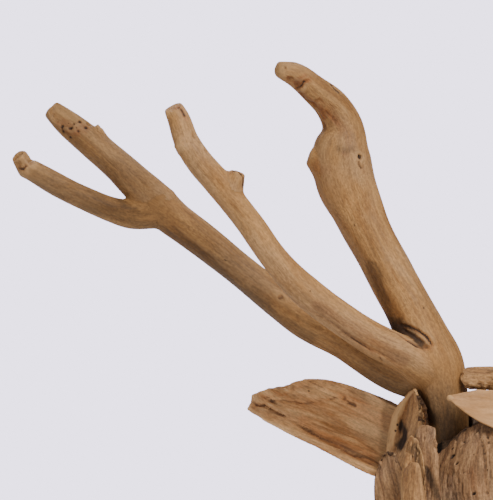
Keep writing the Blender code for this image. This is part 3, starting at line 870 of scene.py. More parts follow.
@dataclass(frozen=True)
class Cut(Mark):
    """A flat facet where the wood was cut or broken off.

    Args:
        pixel: A pixel on the facet's middle.
        facing: The direction out of the facet.
        depth: How far below the skin it lies there, in millimetres.
        reach: How far from the pixel it may go, in millimetres.
        pale: How much of the surface colour is gone, from 0 to 1.
    """

    pixel: Pixel
    facing: Place
    depth: float
    reach: float
    pale: float

    def apply(self, surface: Surface) -> None:
        """Flattens what stands before the facet.

        Args:
            surface: The skin that it is on.
        """
        out = np.array(self.facing) / np.linalg.norm(self.facing)
        centre = surface.points[PHOTO.under(surface, self.pixel)]
        rough = 0.25 * Noise(5).layered(surface.points / (3 * MM), 2)
        over = (surface.points - centre) @ out / MM + self.depth + rough
        near = eased(surface.off_pixel(self.pixel), self.reach, self.reach * 0.85)
        cut = np.clip(over, 0, None) * near
        surface.mark("wear_and_painted_highlight", eased(cut, 0.05, 0.6) * self.pale)
        surface.points = surface.points - (cut * MM)[:, None] * out


@dataclass(frozen=True)
class Stain(Mark):
    """A patch of another colour.

    Args:
        pixels: The line that it follows.
        width: Its half width in millimetres.
        strength: From 0 to 1.
        kind: The mark that it makes.
    """

    pixels: tuple[Pixel, ...]
    width: float
    strength: float
    kind: str = "stain"

    def apply(self, surface: Surface) -> None:
        """Colours the patch.

        Args:
            surface: The skin that it is on.
        """
        off, _ = surface.off_line(self.pixels)
        ragged = off + 0.4 * self.width * Noise(9).layered(surface.grain / (3, 3, 12), 2)
        surface.mark(self.kind, eased(ragged, self.width, self.width * 0.35) * self.strength)


class Sheet:
    """A node tree that is laid out one node after another."""

    def __init__(self, tree: bpy.types.NodeTree) -> None:
        """Takes the tree."""
        self.tree = tree
        self.column = 0

    def add(self, kind: str, inputs: dict | None = None, **settings: object) -> bpy.types.Node:
        """Adds a node.

        Args:
            kind: Its type.
            inputs: Values or sockets for its inputs, by name or number.
            settings: Values for its properties.

        Returns:
            The node.
        """
        node = self.tree.nodes.new(kind)
        node.location = (self.column * 180, -200 * (self.column % 3))
        self.column += 1
        for key, value in settings.items():
            setattr(node, key, value)
        for key, value in (inputs or {}).items():
            self.feed(node.inputs[key], value)
        return node

    def feed(self, socket: Socket, value: Value) -> None:
        """Sets a socket to a value or links another socket to it.

        Args:
            socket: The input.
            value: What it gets.
        """
        if isinstance(value, Socket):
            self.tree.links.new(value, socket)
        else:
            socket.default_value = value

    def math(self, operation: str, first: Value, second: Value, clamp: bool = False) -> Socket:
        """The result of one sum."""
        node = self.add("ShaderNodeMath", {0: first, 1: second}, operation=operation, use_clamp=clamp)
        return node.outputs[0]

    def times(self, *factors: Value) -> Socket:
        """The product of two or more numbers.

        Args:
            factors: The numbers.

        Returns:
            The product's socket.
        """
        product = factors[0]
        for factor in factors[1:]:
            product = self.math("MULTIPLY", product, factor)
        return product

    def vector_math(self, operation: str, first: Value, second: Value) -> Socket:
        """The result of one sum of vectors."""
        return self.add("ShaderNodeVectorMath", {0: first, 1: second}, operation=operation).outputs[0]

    def mix(self, share: Value, first: Value, second: Value, blend: str = "MIX") -> Socket:
        """A colour between two.

        Args:
            share: How much of the second colour there is.
            first: The one colour.
            second: The other colour.
            blend: How they are mixed.

        Returns:
            The colour's socket.
        """
        node = self.add("ShaderNodeMix", data_type="RGBA", blend_type=blend, clamp_factor=True)
        for index, value in ((0, share), (6, first), (7, second)):
            self.feed(node.inputs[index], value if isinstance(value, (Socket, float)) else (*value, 1))
        return node.outputs[2]

    def blend(self, share: Value, first: Value, second: Value) -> Socket:
        """A number between two."""
        inputs = {0: share, 2: first, 3: second}
        return self.add("ShaderNodeMix", inputs, data_type="FLOAT").outputs[0]

    def spread(
        self, value: Value, low: Value, high: Value, start: float = 0.0, end: float = 1.0
    ) -> Socket:
        """A value stretched from low and high to start and end, smoothly."""
        inputs = {"Value": value, "From Min": low, "From Max": high, "To Min": start, "To Max": end}
        return self.add("ShaderNodeMapRange", inputs, interpolation_type="SMOOTHSTEP").outputs["Result"]

    def noise(self, place: Value, detail: float, **inputs: Value) -> Socket:
        """A noise texture's value, one cell a unit."""
        inputs = {"Vector": place, "Scale": 1.0, "Detail": detail, **inputs}
        return self.add("ShaderNodeTexNoise", inputs).outputs["Fac"]

    def attribute(self, name: str, output: str = "Fac") -> Socket:
        """A mark of the mesh."""
        return self.add("ShaderNodeAttribute", attribute_name=name).outputs[output]

    def group(self, tree: bpy.types.NodeTree, **inputs: Value) -> bpy.types.Node:
        """Places a node group and feeds its inputs."""
        return self.add("ShaderNodeGroup", inputs, node_tree=tree)

    def scaled(self, grain: Value, across: Value, along: Value) -> Socket:
        """The grain's place counted in widths across and lengths along."""
        size = self.add("ShaderNodeCombineXYZ", {"X": across, "Y": across, "Z": along}).outputs[0]
        return self.vector_math("DIVIDE", grain, size)


class Effects:
    """The shader node groups that the finishes share, each made once when it is first asked for.

    Each reads the place in the grain from Grain and puts out values from 0 to 1.
    """

    STREAKS = {"Grain": None, "Across": 4.0, "Along": 60.0, "Contrast": 0.2, "Warp": 0.3}
    CRACKS = {"Grain": None, "Across": 5.0, "Along": 70.0, "Width": 0.012, "Amount": 0.5}
    PITS = {"Grain": None, "Spacing": 6.0, "Radius": 0.12, "Amount": 0.3}
    WEAR = {"Grain": None, "Worn": 0.0, "Hollow": 0.0}
    PATCHES = (0.31, 0.31, 0.9)
    PIT_LENGTH = 1.6
    RAGGED = 0.9

    def __init__(self) -> None:
        """Starts with none made."""
        self.made: dict[str, bpy.types.NodeTree] = {}

    def of(self, name: str) -> bpy.types.NodeTree:
        """The group of one name.

        Args:
            name: The group's name.

        Returns:
            The group.
        """
        plans = {
            "Grain streaks": (self.STREAKS, ("Streak",), self.streaks),
            "Hair cracks": (self.CRACKS, ("Crack",), self.cracks),
            "Worm pits": (self.PITS, ("Pit",), self.pits),
            "Edge wear": (self.WEAR, ("Rim", "Dirt"), self.wear),
        }
        if name not in self.made:
            self.made[name] = self.group(name, *plans[name])
        return self.made[name]

    def group(
        self, name: str, inputs: dict[str, float | None], outputs: tuple[str, ...], wire: Callable
    ) -> bpy.types.NodeTree:
        """Makes a group.

        Args:
            name: The group's name.
            inputs: Each input's name and default: a number, or None for a vector.
            outputs: The names of its values.
            wire: Lays its nodes, and returns the values.

        Returns:
            The group.
        """
        tree = bpy.data.node_groups.new(name, "ShaderNodeTree")
        for label, value in inputs.items():
            kind = "NodeSocketVector" if value is None else "NodeSocketFloat"
            socket = tree.interface.new_socket(name=label, in_out="INPUT", socket_type=kind)
            if value is not None:
                socket.default_value = value
        for label in outputs:
            tree.interface.new_socket(name=label, in_out="OUTPUT", socket_type="NodeSocketFloat")
        sheet = Sheet(tree)
        values = wire(sheet, sheet.add("NodeGroupInput").outputs)
        sheet.add("NodeGroupOutput", dict(zip(outputs, values)))
        return tree

    def streaks(self, sheet: Sheet, entry: Sockets) -> tuple[Socket]:
        """Streaks along the grain.

        Args:
            sheet: The group's nodes.
            entry: The group's inputs by name.

        Returns:
            The streaks.
        """
        place = sheet.scaled(entry["Grain"], entry["Across"], entry["Along"])
        noise = sheet.noise(place, 4.0, Roughness=0.6, Distortion=entry["Warp"])
        low = sheet.math("SUBTRACT", 0.5, entry["Contrast"])
        high = sheet.math("ADD", 0.5, entry["Contrast"])
        return (sheet.spread(noise, low, high),)

    def cracks(self, sheet: Sheet, entry: Sockets) -> tuple[Socket]:
        """Hair cracks along the grain, in patches.

        Args:
            sheet: The group's nodes.
            entry: The group's inputs by name.

        Returns:
            The cracks.
        """
        place = sheet.scaled(entry["Grain"], entry["Across"], entry["Along"])
        noise = sheet.noise(place, 2.0, Roughness=0.5, Distortion=0.4)
        off = sheet.math("ABSOLUTE", sheet.math("SUBTRACT", noise, 0.5), 0.0)
        line = sheet.spread(off, entry["Width"], 0.0)
        patch = sheet.noise(sheet.vector_math("MULTIPLY", place, self.PATCHES), 1.0)
        low = sheet.math("SUBTRACT", 0.75, sheet.times(entry["Amount"], 0.4))
        limits = {"Value": patch, "From Min": low, "From Max": sheet.math("ADD", low, 0.08)}
        shown = sheet.add("ShaderNodeMapRange", limits).outputs["Result"]
        return (sheet.math("MULTIPLY", line, shown, clamp=True),)

    def pits(self, sheet: Sheet, entry: Sockets) -> tuple[Socket]:
        """Worm pits strewn over the surface.

        Args:
            sheet: The group's nodes.
            entry: The group's inputs by name.

        Returns:
            The pits.
        """
        spacing, radius = entry["Spacing"], entry["Radius"]
        place = sheet.scaled(entry["Grain"], spacing, sheet.times(spacing, self.PIT_LENGTH))
        cells = sheet.add("ShaderNodeTexVoronoi", {"Vector": place, "Scale": 1.0}, feature="F1").outputs
        dot = sheet.spread(cells["Distance"], radius, sheet.times(radius, 0.5))
        chance = sheet.add("ShaderNodeSeparateColor", {"Color": cells["Color"]}).outputs["Red"]
        chosen = sheet.math("LESS_THAN", chance, entry["Amount"])
        return (sheet.math("MULTIPLY", dot, chosen, clamp=True),)

    def wear(self, sheet: Sheet, entry: Sockets) -> tuple[Socket, Socket]:
        """Rubbed edges and dirty hollows, broken up by the grain; on a few parts the edges carry a painted
        highlight and the hollows painted shade.

        Args:
            sheet: The group's nodes.
            entry: The group's inputs by name.

        Returns:
            The rubbed edges, and the dirt.
        """
        noise = sheet.noise(sheet.scaled(entry["Grain"], 2.2, 9.0), 3.0)
        ragged = sheet.times(sheet.math("SUBTRACT", noise, 0.5), self.RAGGED)
        rim = sheet.spread(sheet.math("ADD", entry["Worn"], ragged), 0.25, 0.8)
        dirt = sheet.spread(sheet.math("SUBTRACT", entry["Hollow"], sheet.times(ragged, 0.5)), 0.2, 0.75)
        return sheet.math("MULTIPLY", rim, entry["Worn"], clamp=True), dirt


EFFECTS = Effects()


@dataclass(frozen=True)
class WoodFinish:
    """One kind of driftwood surface.

    Args:
        name: The material's name.
        dark: The colour of its dark streaks.
        light: The colour of its light streaks.
        warm: The colour of stained wood.
        grey: The colour where the weather has bleached it.
        rim: The colour of rubbed edges.
        dirt: The colour in cracks, pits and hollows.
        band: The width of the broad streaks in millimetres.
        greyed: How much is bleached, from 0 to 1.
        lined: How strongly the fine grain shows, from 0 to 1.
        cracked: How much has hair cracks, from 0 to 1.
        pitted: How much has worm pits, from 0 to 1.
        rubbed: How strongly edges are rubbed, from 0 to 1.
        gritty: How strongly small spots show, from 0 to 1.
        roughness: The least and the most roughness.
        bump: The height of the fine relief in millimetres.
    """

    name: str
    dark: Colour
    light: Colour
    warm: Colour
    grey: Colour
    rim: Colour
    dirt: Colour
    band: float = 7.0
    greyed: float = 0.3
    lined: float = 0.5
    cracked: float = 0.3
    pitted: float = 0.15
    rubbed: float = 0.6
    gritty: float = 0.12
    roughness: tuple[float, float] = (0.6, 0.85)
    bump: float = 0.35

    FINE = {"Across": 1.5, "Along": 30.0, "Contrast": 0.24, "Warp": 0.15}
    FIBRE = {"Across": 0.5, "Along": 9.0, "Contrast": 0.25, "Warp": 0.1}
    GRIT = {"Across": 1.2, "Along": 2.2, "Contrast": 0.26, "Warp": 0.0}
    FINE_HEIGHT, FIBRE_HEIGHT, GRIT_HEIGHT, MARK_HEIGHT = 0.55, 0.25, 0.4, -1.2
    BAND_LENGTH = 9
    CLOUD_SIZE = (0.045, 0.045, 0.016)
    MARK_STRENGTH = 0.7
    STAIN_STRENGTH = 0.85
    SHADE_STRENGTH = 0.8
    SHEEN = 0.28

    def make(self) -> bpy.types.Material:
        """Builds the material.

        Returns:
            The material.
        """
        material = bpy.data.materials.new(self.name)
        material.use_nodes = True
        shader = material.node_tree.nodes["Principled BSDF"]
        sheet = Sheet(material.node_tree)
        grain = sheet.attribute("grain", "Vector")
        streaks, plain = EFFECTS.of("Grain streaks"), sheet.attribute("plain")
        band = {"Across": self.band, "Along": self.band * self.BAND_LENGTH, "Contrast": 0.2}
        sizes = (band, self.FINE, self.FIBRE, self.GRIT)
        *lines, grit = (sheet.group(streaks, Grain=grain, **size).outputs[0] for size in sizes)
        broad, fine, fibre = (sheet.blend(plain, line, 0.5) for line in lines)
        crack = sheet.group(EFFECTS.of("Hair cracks"), Grain=grain, Amount=self.cracked).outputs[0]
        pit = sheet.group(EFFECTS.of("Worm pits"), Grain=grain, Amount=self.pitted).outputs[0]
        marks = sheet.math("MAXIMUM", crack, pit)
        signs = {"Worn": sheet.attribute("wear_and_painted_highlight"), "Hollow": sheet.attribute("hollow")}
        rim, dirt = sheet.group(EFFECTS.of("Edge wear"), Grain=grain, **signs).outputs
        colour = self.colour(sheet, grain, broad, fine, fibre, grit)
        # Rubbed edges take the rim colour and hollows the dirt colour; on the ear guard these also make a
        # painted highlight on its rim and painted shade in its hollow, and in the antler's crevice painted
        # shade
        colour = sheet.mix(sheet.times(rim, self.rubbed), colour, self.rim)
        colour = sheet.mix(sheet.times(marks, self.MARK_STRENGTH), colour, self.dirt)
        sheet.feed(shader.inputs["Base Color"], sheet.mix(dirt, colour, self.dirt))
        sheet.feed(shader.inputs["Roughness"], sheet.spread(fine, 0, 1, *self.roughness))
        shader.inputs["Specular IOR Level"].default_value = self.SHEEN
        height = sheet.times(fine, self.FINE_HEIGHT)
        layers = ((fibre, self.FIBRE_HEIGHT), (grit, self.GRIT_HEIGHT), (marks, self.MARK_HEIGHT))
        for layer, share in layers:
            height = sheet.math("ADD", height, sheet.times(layer, share))
        bump = sheet.add("ShaderNodeBump", {"Height": height, "Distance": self.bump * MM, "Strength": 1.0})
        sheet.feed(shader.inputs["Normal"], bump.outputs[0])
        return material

    def colour(
        self, sheet: Sheet, grain: Socket, broad: Socket, fine: Socket, fibre: Socket, grit: Socket
    ) -> Socket:
        """The wood's colour before wear.

        Args:
            sheet: The material's nodes.
            grain: The place in the grain.
            broad: The broad streaks.
            fine: The fine grain.
            fibre: The single fibres.
            grit: Small spots.

        Returns:
            The colour's socket.
        """
        base = sheet.mix(broad, self.dark, self.light)
        base = sheet.mix(sheet.times(sheet.attribute("stain"), self.STAIN_STRENGTH), base, self.warm)
        clouds = sheet.noise(sheet.vector_math("MULTIPLY", grain, self.CLOUD_SIZE), 4.0)
        base = sheet.mix(sheet.spread(clouds, 0.42, 0.66, 0.0, self.greyed), base, self.grey)
        lines = sheet.spread(fine, 0.0, 0.75, 1 - 0.42 * self.lined, 1 + 0.1 * self.lined)
        threads = sheet.spread(fibre, 0.0, 1.0, 1 - 0.2 * self.lined, 1 + 0.08 * self.lined)
        spots = sheet.spread(grit, 0.0, 1.0, 1 - self.gritty, 1 + self.gritty)
        tone = sheet.math("ADD", 1.0, sheet.attribute("tone"))
        # The shade mark darkens the colour: painted shade where other parts shade the wood and on
        # undersides, and darker wood at some knots, bands and pits
        kept = sheet.math("SUBTRACT", 1.0, sheet.times(sheet.attribute("shade"), self.SHADE_STRENGTH))
        shade = sheet.times(lines, threads, tone, spots, kept)
        grey = sheet.add("ShaderNodeCombineColor", {"Red": shade, "Green": shade, "Blue": shade}).outputs[0]
        return sheet.mix(1.0, base, grey, "MULTIPLY")


class Wood(Enum):
    """The finishes of the bust's pieces."""

    BRANCH = WoodFinish(
        "smooth branch wood",
        dark=(0.29, 0.13, 0.037), light=(0.45, 0.228, 0.076), warm=(0.26, 0.078, 0.018),
        grey=(0.42, 0.255, 0.125), rim=(0.55, 0.33, 0.145), dirt=(0.045, 0.021, 0.009),
        band=6.0, greyed=0.45, lined=0.42, cracked=0.1, pitted=0.04, rubbed=0.3,
        gritty=0.2, roughness=(0.55, 0.75), bump=0.3,
    )
    # The ear's colours are lighter than its own wood: painted light for its face, which turns away from the
    # lamps
    EAR = WoodFinish(
        "reddish ear board",
        dark=(0.46, 0.19, 0.06), light=(0.84, 0.47, 0.20), warm=(0.52, 0.185, 0.052),
        grey=(0.78, 0.50, 0.26), rim=(0.92, 0.58, 0.27), dirt=(0.09, 0.04, 0.017),
        band=5.5, greyed=0.35, lined=0.45, cracked=0.15, pitted=0.05, rubbed=0.5,
        gritty=0.14, roughness=(0.55, 0.8), bump=0.3,
    )
    WEATHERED = WoodFinish(
        "weathered board",
        dark=(0.155, 0.071, 0.028), light=(0.38, 0.205, 0.092), warm=(0.22, 0.082, 0.028),
        grey=(0.31, 0.195, 0.115), rim=(0.47, 0.275, 0.135), dirt=(0.026, 0.012, 0.006),
        band=4.5, greyed=0.6, lined=0.7, cracked=0.35, pitted=0.3, rubbed=0.8,
        gritty=0.22, roughness=(0.68, 0.92), bump=0.5,
    )
    GOLDEN = WoodFinish(
        "golden board",
        dark=(0.225, 0.10, 0.034), light=(0.44, 0.225, 0.085), warm=(0.25, 0.085, 0.025),
        grey=(0.37, 0.22, 0.115), rim=(0.55, 0.31, 0.13), dirt=(0.032, 0.015, 0.007),
        band=5.0, greyed=0.4, lined=0.5, cracked=0.2, pitted=0.15, rubbed=0.8,
        gritty=0.2, roughness=(0.6, 0.85), bump=0.4,
    )
    PALE = WoodFinish(
        "pale brow board",
        dark=(0.45, 0.215, 0.075), light=(0.60, 0.32, 0.135), warm=(0.42, 0.19, 0.06),
        grey=(0.54, 0.32, 0.17), rim=(0.66, 0.40, 0.18), dirt=(0.08, 0.04, 0.018),
        band=7.0, greyed=0.3, lined=0.25, cracked=0.05, pitted=0.05, rubbed=0.5,
        gritty=0.06, roughness=(0.5, 0.7), bump=0.15,
    )
    BED = WoodFinish(
        "inner slats",
        dark=(0.055, 0.027, 0.012), light=(0.19, 0.105, 0.05), warm=(0.11, 0.045, 0.017),
        grey=(0.15, 0.10, 0.06), rim=(0.26, 0.155, 0.08), dirt=(0.014, 0.008, 0.004),
        band=4.0, greyed=0.5, lined=0.9, cracked=0.7, pitted=0.2, rubbed=0.6,
        gritty=0.2, roughness=(0.75, 0.95), bump=0.6,
    )
    KNOB = WoodFinish(
        "dark knob wood",
        dark=(0.024, 0.012, 0.007), light=(0.10, 0.05, 0.024), warm=(0.08, 0.028, 0.012),
        grey=(0.12, 0.075, 0.045), rim=(0.20, 0.11, 0.055), dirt=(0.008, 0.005, 0.004),
        band=2.0, greyed=0.3, lined=0.7, cracked=0.3, pitted=0.1, rubbed=0.6,
        gritty=0.15, roughness=(0.35, 0.6), bump=0.25,
    )


class Finishes:
    """The materials, each made once when it is first asked for."""

    def __init__(self) -> None:
        """Starts with none made."""
        self.made: dict[Wood, bpy.types.Material] = {}

    def of(self, wood: Wood) -> bpy.types.Material:
        """The material of one kind of wood."""
        if wood not in self.made:
            self.made[wood] = wood.value.make()
        return self.made[wood]


FINISHES = Finishes()


@dataclass
class Antler:
    """A forked branch whose limbs are grown into one.

    Args:
        node: The solid that it stands for.
        root: Where it leaves the crown, in millimetres.
        limbs: Each limb's points.
        seed: The branch's own number.
        marks: Its knots, cracks and cuts.
        voxel: The width of its faces in metres.
        relief: How its surface is cut.
        limb_tones: How much lighter or darker some limbs are.
    """

    node: str
    root: Place
    limbs: dict[str, list]
    seed: int
    marks: tuple[Mark, ...] = ()
    voxel: float = 1.05 * MM
    relief: Relief = Relief(swell=1.3, groove=0.12, groove_width=2.4)
    limb_tones: tuple[tuple[str, float], ...] = (
        ("beam", -0.06), ("outer_limb", -0.28), ("outer_tip", -0.24), ("upper_tip", -0.3)
    )

    # How sharply the limbs' reliefs change over, and how near a second limb a fork is, in radii
    BLEND = 9
    FORK = 0.45
    WANDER = 1.6
    LIMB_APART = 230
    # Painted shade at the foot: where it begins and ends above the root in millimetres, and how dark it
    # gets
    FOOT = (42, 2)
    FOOT_PAINTED_SHADE = 0.6
    CLOUDS = 0.14

    def build(self) -> Surface:
        """Melts the limbs together and cuts the relief.

        Returns:
            The piece's skin, ready for its finish.
        """
        routes = [Limb(self.root, points) for points in self.limbs.values()]
        points, faces = gathered([route.skin() for route in routes])
        mesh = bpy.data.meshes.new(self.node)
        mesh.from_pydata(points.tolist(), [], faces)
        surface = melted(mesh, self.voxel)
        surface.relax(9)
        self.lay_grain(surface, routes)
        for mark in self.marks:
            mark.apply(surface)
        surface.relax(1, 0.3)
        surface.read_wear(0.45, 14, 0.35)
        return surface

    def lay_grain(self, surface: Surface, routes: list[Limb]) -> None:
        """Runs the grain along the limbs and blends their reliefs where they meet.

        Args:
            surface: The branch's skin.
            routes: Its limbs.
        """
        count = len(surface.points)
        looks = [route.seen_from(surface.points) for route in routes]
        off = np.column_stack([look[0] for look in looks])
        share = np.exp(-self.BLEND * (off - off.min(axis=1)[:, None]))
        share /= share.sum(axis=1)[:, None]
        closest = np.sort(off, axis=1)
        surface.mark("plain", eased(closest[:, 1] - closest[:, 0], self.FORK, 0.0))
        tones = dict(self.limb_tones)
        surface.marks["tone"] = share @ [tones.get(limb, 0.0) for limb in self.limbs]
        nearest = off.argmin(axis=1)
        height, cut = np.zeros(count), np.zeros(count)
        surface.axes = np.zeros((count, 3, 3))
        for number, (route, (_, step)) in enumerate(zip(routes, looks)):
            apart = surface.points / MM - route.centres[step]
            ways = (route.side[step], route.front[step], route.along[step])
            across = np.column_stack([(apart * way).sum(axis=1) for way in ways[:2]])
            wander = self.WANDER * Noise(self.seed + number).at(surface.points / (38 * MM))
            along = route.lengths[step] + self.LIMB_APART * number
            place = np.column_stack([across + wander[:, None], along])
            limb_height, limb_cut = self.relief.height(place, self.seed + 10 * number)
            height += share[:, number] * limb_height
            cut += share[:, number] * limb_cut
            mine = nearest == number
            surface.grain[mine] = place[mine]
            for row, way in enumerate(ways):
                surface.axes[mine, row] = way[mine]
        surface.push(height)
        surface.mark("hollow", cut * 0.15)

    def dress(self, surface: Surface) -> None:
        """Gives the branch its finish, with painted shade darkening its foot.

        Args:
            surface: The piece's skin.
        """
        clouds = self.CLOUDS * Noise(self.seed).layered(surface.points / (45 * MM), 3)
        # Painted shade: the branch darkens towards its foot, where the boards round the crown shade it
        start, end = (self.root[2] + height for height in self.FOOT)
        foot = eased(surface.points[:, 2] / MM, start, end)
        surface.marks["tone"] = surface.marks["tone"] + clouds - self.FOOT_PAINTED_SHADE * foot
        surface.piece(f"{self.node}_branch", Wood.BRANCH, "branch", self.node)


@dataclass
class Board:
    """A split board of the skin, with its grain along its length.

    Args:
        node: The solid that it stands for.
        seed: The board's own number.
        wood: Its finish.
        relief: How its surface is cut.
        marks: What the photograph shows on it.
        voxel: The width of its faces in metres.
        tone: How much lighter or darker it is than others.
        crease: How sharp its edges stay.
        slot: The record's material slot.
        soil: How dark its hollows are, from 0 to 1.
    """

    node: str
    seed: int
    wood: Wood = Wood.WEATHERED
    relief: Relief = Relief(swell=0.7, groove=0.45, flake=0.9, pits=0.6, chew=0.14, cracks=2)
    marks: tuple[Mark, ...] = ()
    voxel: float = 1.5 * MM
    tone: float = 0.0
    crease: float = 0.45
    slot: str = "board"
    soil: float = 0.6

    WARP = 2.5
    END_START = 0.55
    END_GRAIN, END_SPLINTERS = 6, 1.7
    CRACK_WANDER = 2.2
    HOLE_SIZES = (0.9, 1.6)
    HOLE_DEPTH = 1.8
    CLOUDS = 0.12

    def build(self) -> Surface:
        """Rounds the solid's edges and cuts the relief.

        Returns:
            The piece's skin, ready for its finish.
        """
        surface = melted(node_shape(self.node, self.crease), self.voxel, 2)
        surface.relax(4)
        self.lay_grain(surface)
        self.break_ends(surface)
        self.shape(surface)
        for mark in self.marks:
            mark.apply(surface)
        surface.grain[:, 0] += self.WARP * Noise(self.seed + 40).at(surface.grain / (30, 30, 40))
        height, cut = self.relief.height(surface.grain, self.seed)
        surface.push(height - 0.5 * self.relief.swell)
        surface.mark("hollow", cut * 0.5)
        self.cut_cracks(surface)
        self.bore_holes(surface)
        surface.read_wear(0.55, 10, self.soil)
        return surface

    def lay_grain(self, surface: Surface) -> None:
        """Runs the grain along the board's longest axis, up where it stands.

        Args:
            surface: The piece's skin.
        """
        centre = surface.points.mean(axis=0)
        _, _, ways = np.linalg.svd((surface.points - centre)[::7], full_matrices=False)
        along, across = ways[0], ways[1]
        along = along if along @ (0, 0.35, 1) > 0 else -along
        outward = np.cross(across, along)
        spine = np.array([0, 0.01, max(centre[2], 0.05)])
        if outward @ (centre - spine) < 0:
            outward, across = -outward, -across
        self.set_axes(surface, np.array([across, outward, along]))

    def set_axes(self, surface: Surface, axes: np.ndarray) -> None:
        """Gives the whole board one set of axes: across, out of its face, and along.

        Args:
            surface: The piece's skin.
            axes: The three directions, one a row.
        """
        centre = surface.points.mean(axis=0)
        surface.axes = np.broadcast_to(axes, (len(surface.points), 3, 3))
        surface.grain = (surface.points - centre) @ axes.T / MM

    def shape(self, surface: Surface) -> None:
        """Changes the board's form before its relief is cut; a plain board keeps it."""

    def break_ends(self, surface: Surface) -> None:
        """Breaks the ends back along the grain.

        Args:
            surface: The piece's skin.
        """
        along = surface.grain[:, 2]
        flat = surface.grain * (1, 1, 0)
        for sign, most in ((1, along.max()), (-1, -along.min())):
            ragged = Noise(self.seed + 20 + sign).layered(flat / self.END_GRAIN, 3)
            splinter = Noise(self.seed + 30 + sign).at(flat / self.END_SPLINTERS)
            chewed = self.relief.chew * (np.clip(0.5 + ragged, 0, 1.3) + 0.25 * splinter)
            beyond = np.clip(sign * along - self.END_START * most, 0, None)
            move = -sign * beyond * np.clip(chewed, 0, 0.8) * 2
            surface.points = surface.points + (move * MM)[:, None] * surface.axes[:, 2]
        surface.relax(1, 0.4)

    def cut_cracks(self, surface: Surface) -> None:
        """Splits the face with long cracks.

        Args:
            surface: The piece's skin.
        """
        dice = np.random.default_rng(self.seed)
        grain = surface.grain
        half = np.percentile(np.abs(grain[:, 0]), 96)
        long = np.abs(grain[:, 2]).max()
        for number in range(self.relief.cracks):
            middle = dice.uniform(-0.7, 0.7) * half
            end = dice.choice([-1, 1]) * long
            reach = dice.uniform(0.5, 1.2) * long
            wander = self.CRACK_WANDER * Noise(self.seed + 50 + number).at(grain / (60, 60, 26))
            off = np.abs(grain[:, 0] - middle - wander)
            inward = np.abs(grain[:, 2] - end)
            width = dice.uniform(0.4, 0.9) * np.clip(1 - inward / reach, 0, 1) ** 0.5 + 0.01
            deep = eased(off, 1.9 * width, 0.1 * width) * (inward < reach)
            surface.mark("hollow", deep * 0.6)
            surface.push(-deep * dice.uniform(1.2, 2.2))

    def bore_holes(self, surface: Surface) -> None:
        """Bores worm holes at random places of the outer face.

        Args:
            surface: The piece's skin.
        """
        dice = np.random.default_rng(self.seed + 1)
        facing = (surface.normals() * surface.axes[:, 1]).sum(axis=1) > 0.6
        places = np.flatnonzero(facing)
        for _ in range(self.relief.holes):
            centre = surface.points[dice.choice(places)]
            radius = dice.uniform(*self.HOLE_SIZES)
            off = np.linalg.norm(surface.points - centre, axis=1) / MM
            surface.mark("hollow", 0.8 * eased(off, radius * 1.4, radius * 0.5))
            surface.push(-self.HOLE_DEPTH * eased(off, radius * 1.4, radius * 0.3))

    def dress(self, surface: Surface) -> None:
        """Gives the board its finish.

        Args:
            surface: The piece's skin.
        """
        clouds = Noise(self.seed + 60).layered(surface.grain / (22, 22, 70), 2)
        surface.marks["tone"] = self.tone + self.CLOUDS * clouds
        surface.piece(f"{self.node}_wood", self.wood, self.slot, self.node)


@dataclass
class EarGuard(Board):
    """The curved board beside the ear, hollowed on its face, with a broad rim.

    Args:
        hollow: How deep the hollow is in millimetres.
        rim_side: On which side its broad rim is, -1 for the stag's right.
    """

    hollow: float = 4.6
    rim_side: int = -1

    RIM = 8.0

    def shape(self, surface: Surface) -> None:
        """Scoops out the face beside the rim, with painted shade over the scooped face and a painted
        highlight on the rim.

        Args:
            surface: The piece's skin.
        """
        grain = surface.grain
        across = grain[:, 0] * np.sign(surface.axes[0, 0, 0]) * self.rim_side
        top = grain[:, 2].max()
        rim = self.RIM + 2 * eased(grain[:, 2], top - 30, top) + 1.5 * Noise(self.seed).at(grain / 9)
        edge = np.percentile(across, 98) - rim
        scoop = eased(across, edge + 1.5, edge - 3.5) * eased(grain[:, 2], top - 2, top - 14)
        scoop = scoop * eased(surface.normals()[:, 1], -0.15, -0.6)
        surface.push(-scoop * self.hollow)
        # The stain gives the scooped face a darker red-brown, partly its own colour and partly painted
        # shade; the shade mark is painted shade, and the rim gets a painted highlight
        surface.mark("stain", 0.7 * scoop)
        surface.mark("shade", 0.3 * scoop)
        surface.mark("wear_and_painted_highlight", 0.7 * eased(across, edge - 1, edge + 3))


@dataclass
class Ear(Board):
    """A curled board that serves as an ear, its grain along its straight lower edge.

    Args:
        side: -1 for the stag's right ear, 1 for its left.
    """

    side: int = -1

    EDGE_RISE = 24

    def lay_grain(self, surface: Surface) -> None:
        """Runs the grain along the lower edge.

        Args:
            surface: The piece's skin.
        """
        rise = math.radians(self.EDGE_RISE)
        along = np.array([self.side * math.cos(rise), 0.1, math.sin(rise)])
        along = along / np.linalg.norm(along)
        outward = np.array([0, -1, 0]) + along[1] * along
        outward = outward / np.linalg.norm(outward)
        self.set_axes(surface, np.array([np.cross(outward, along), outward, along]))


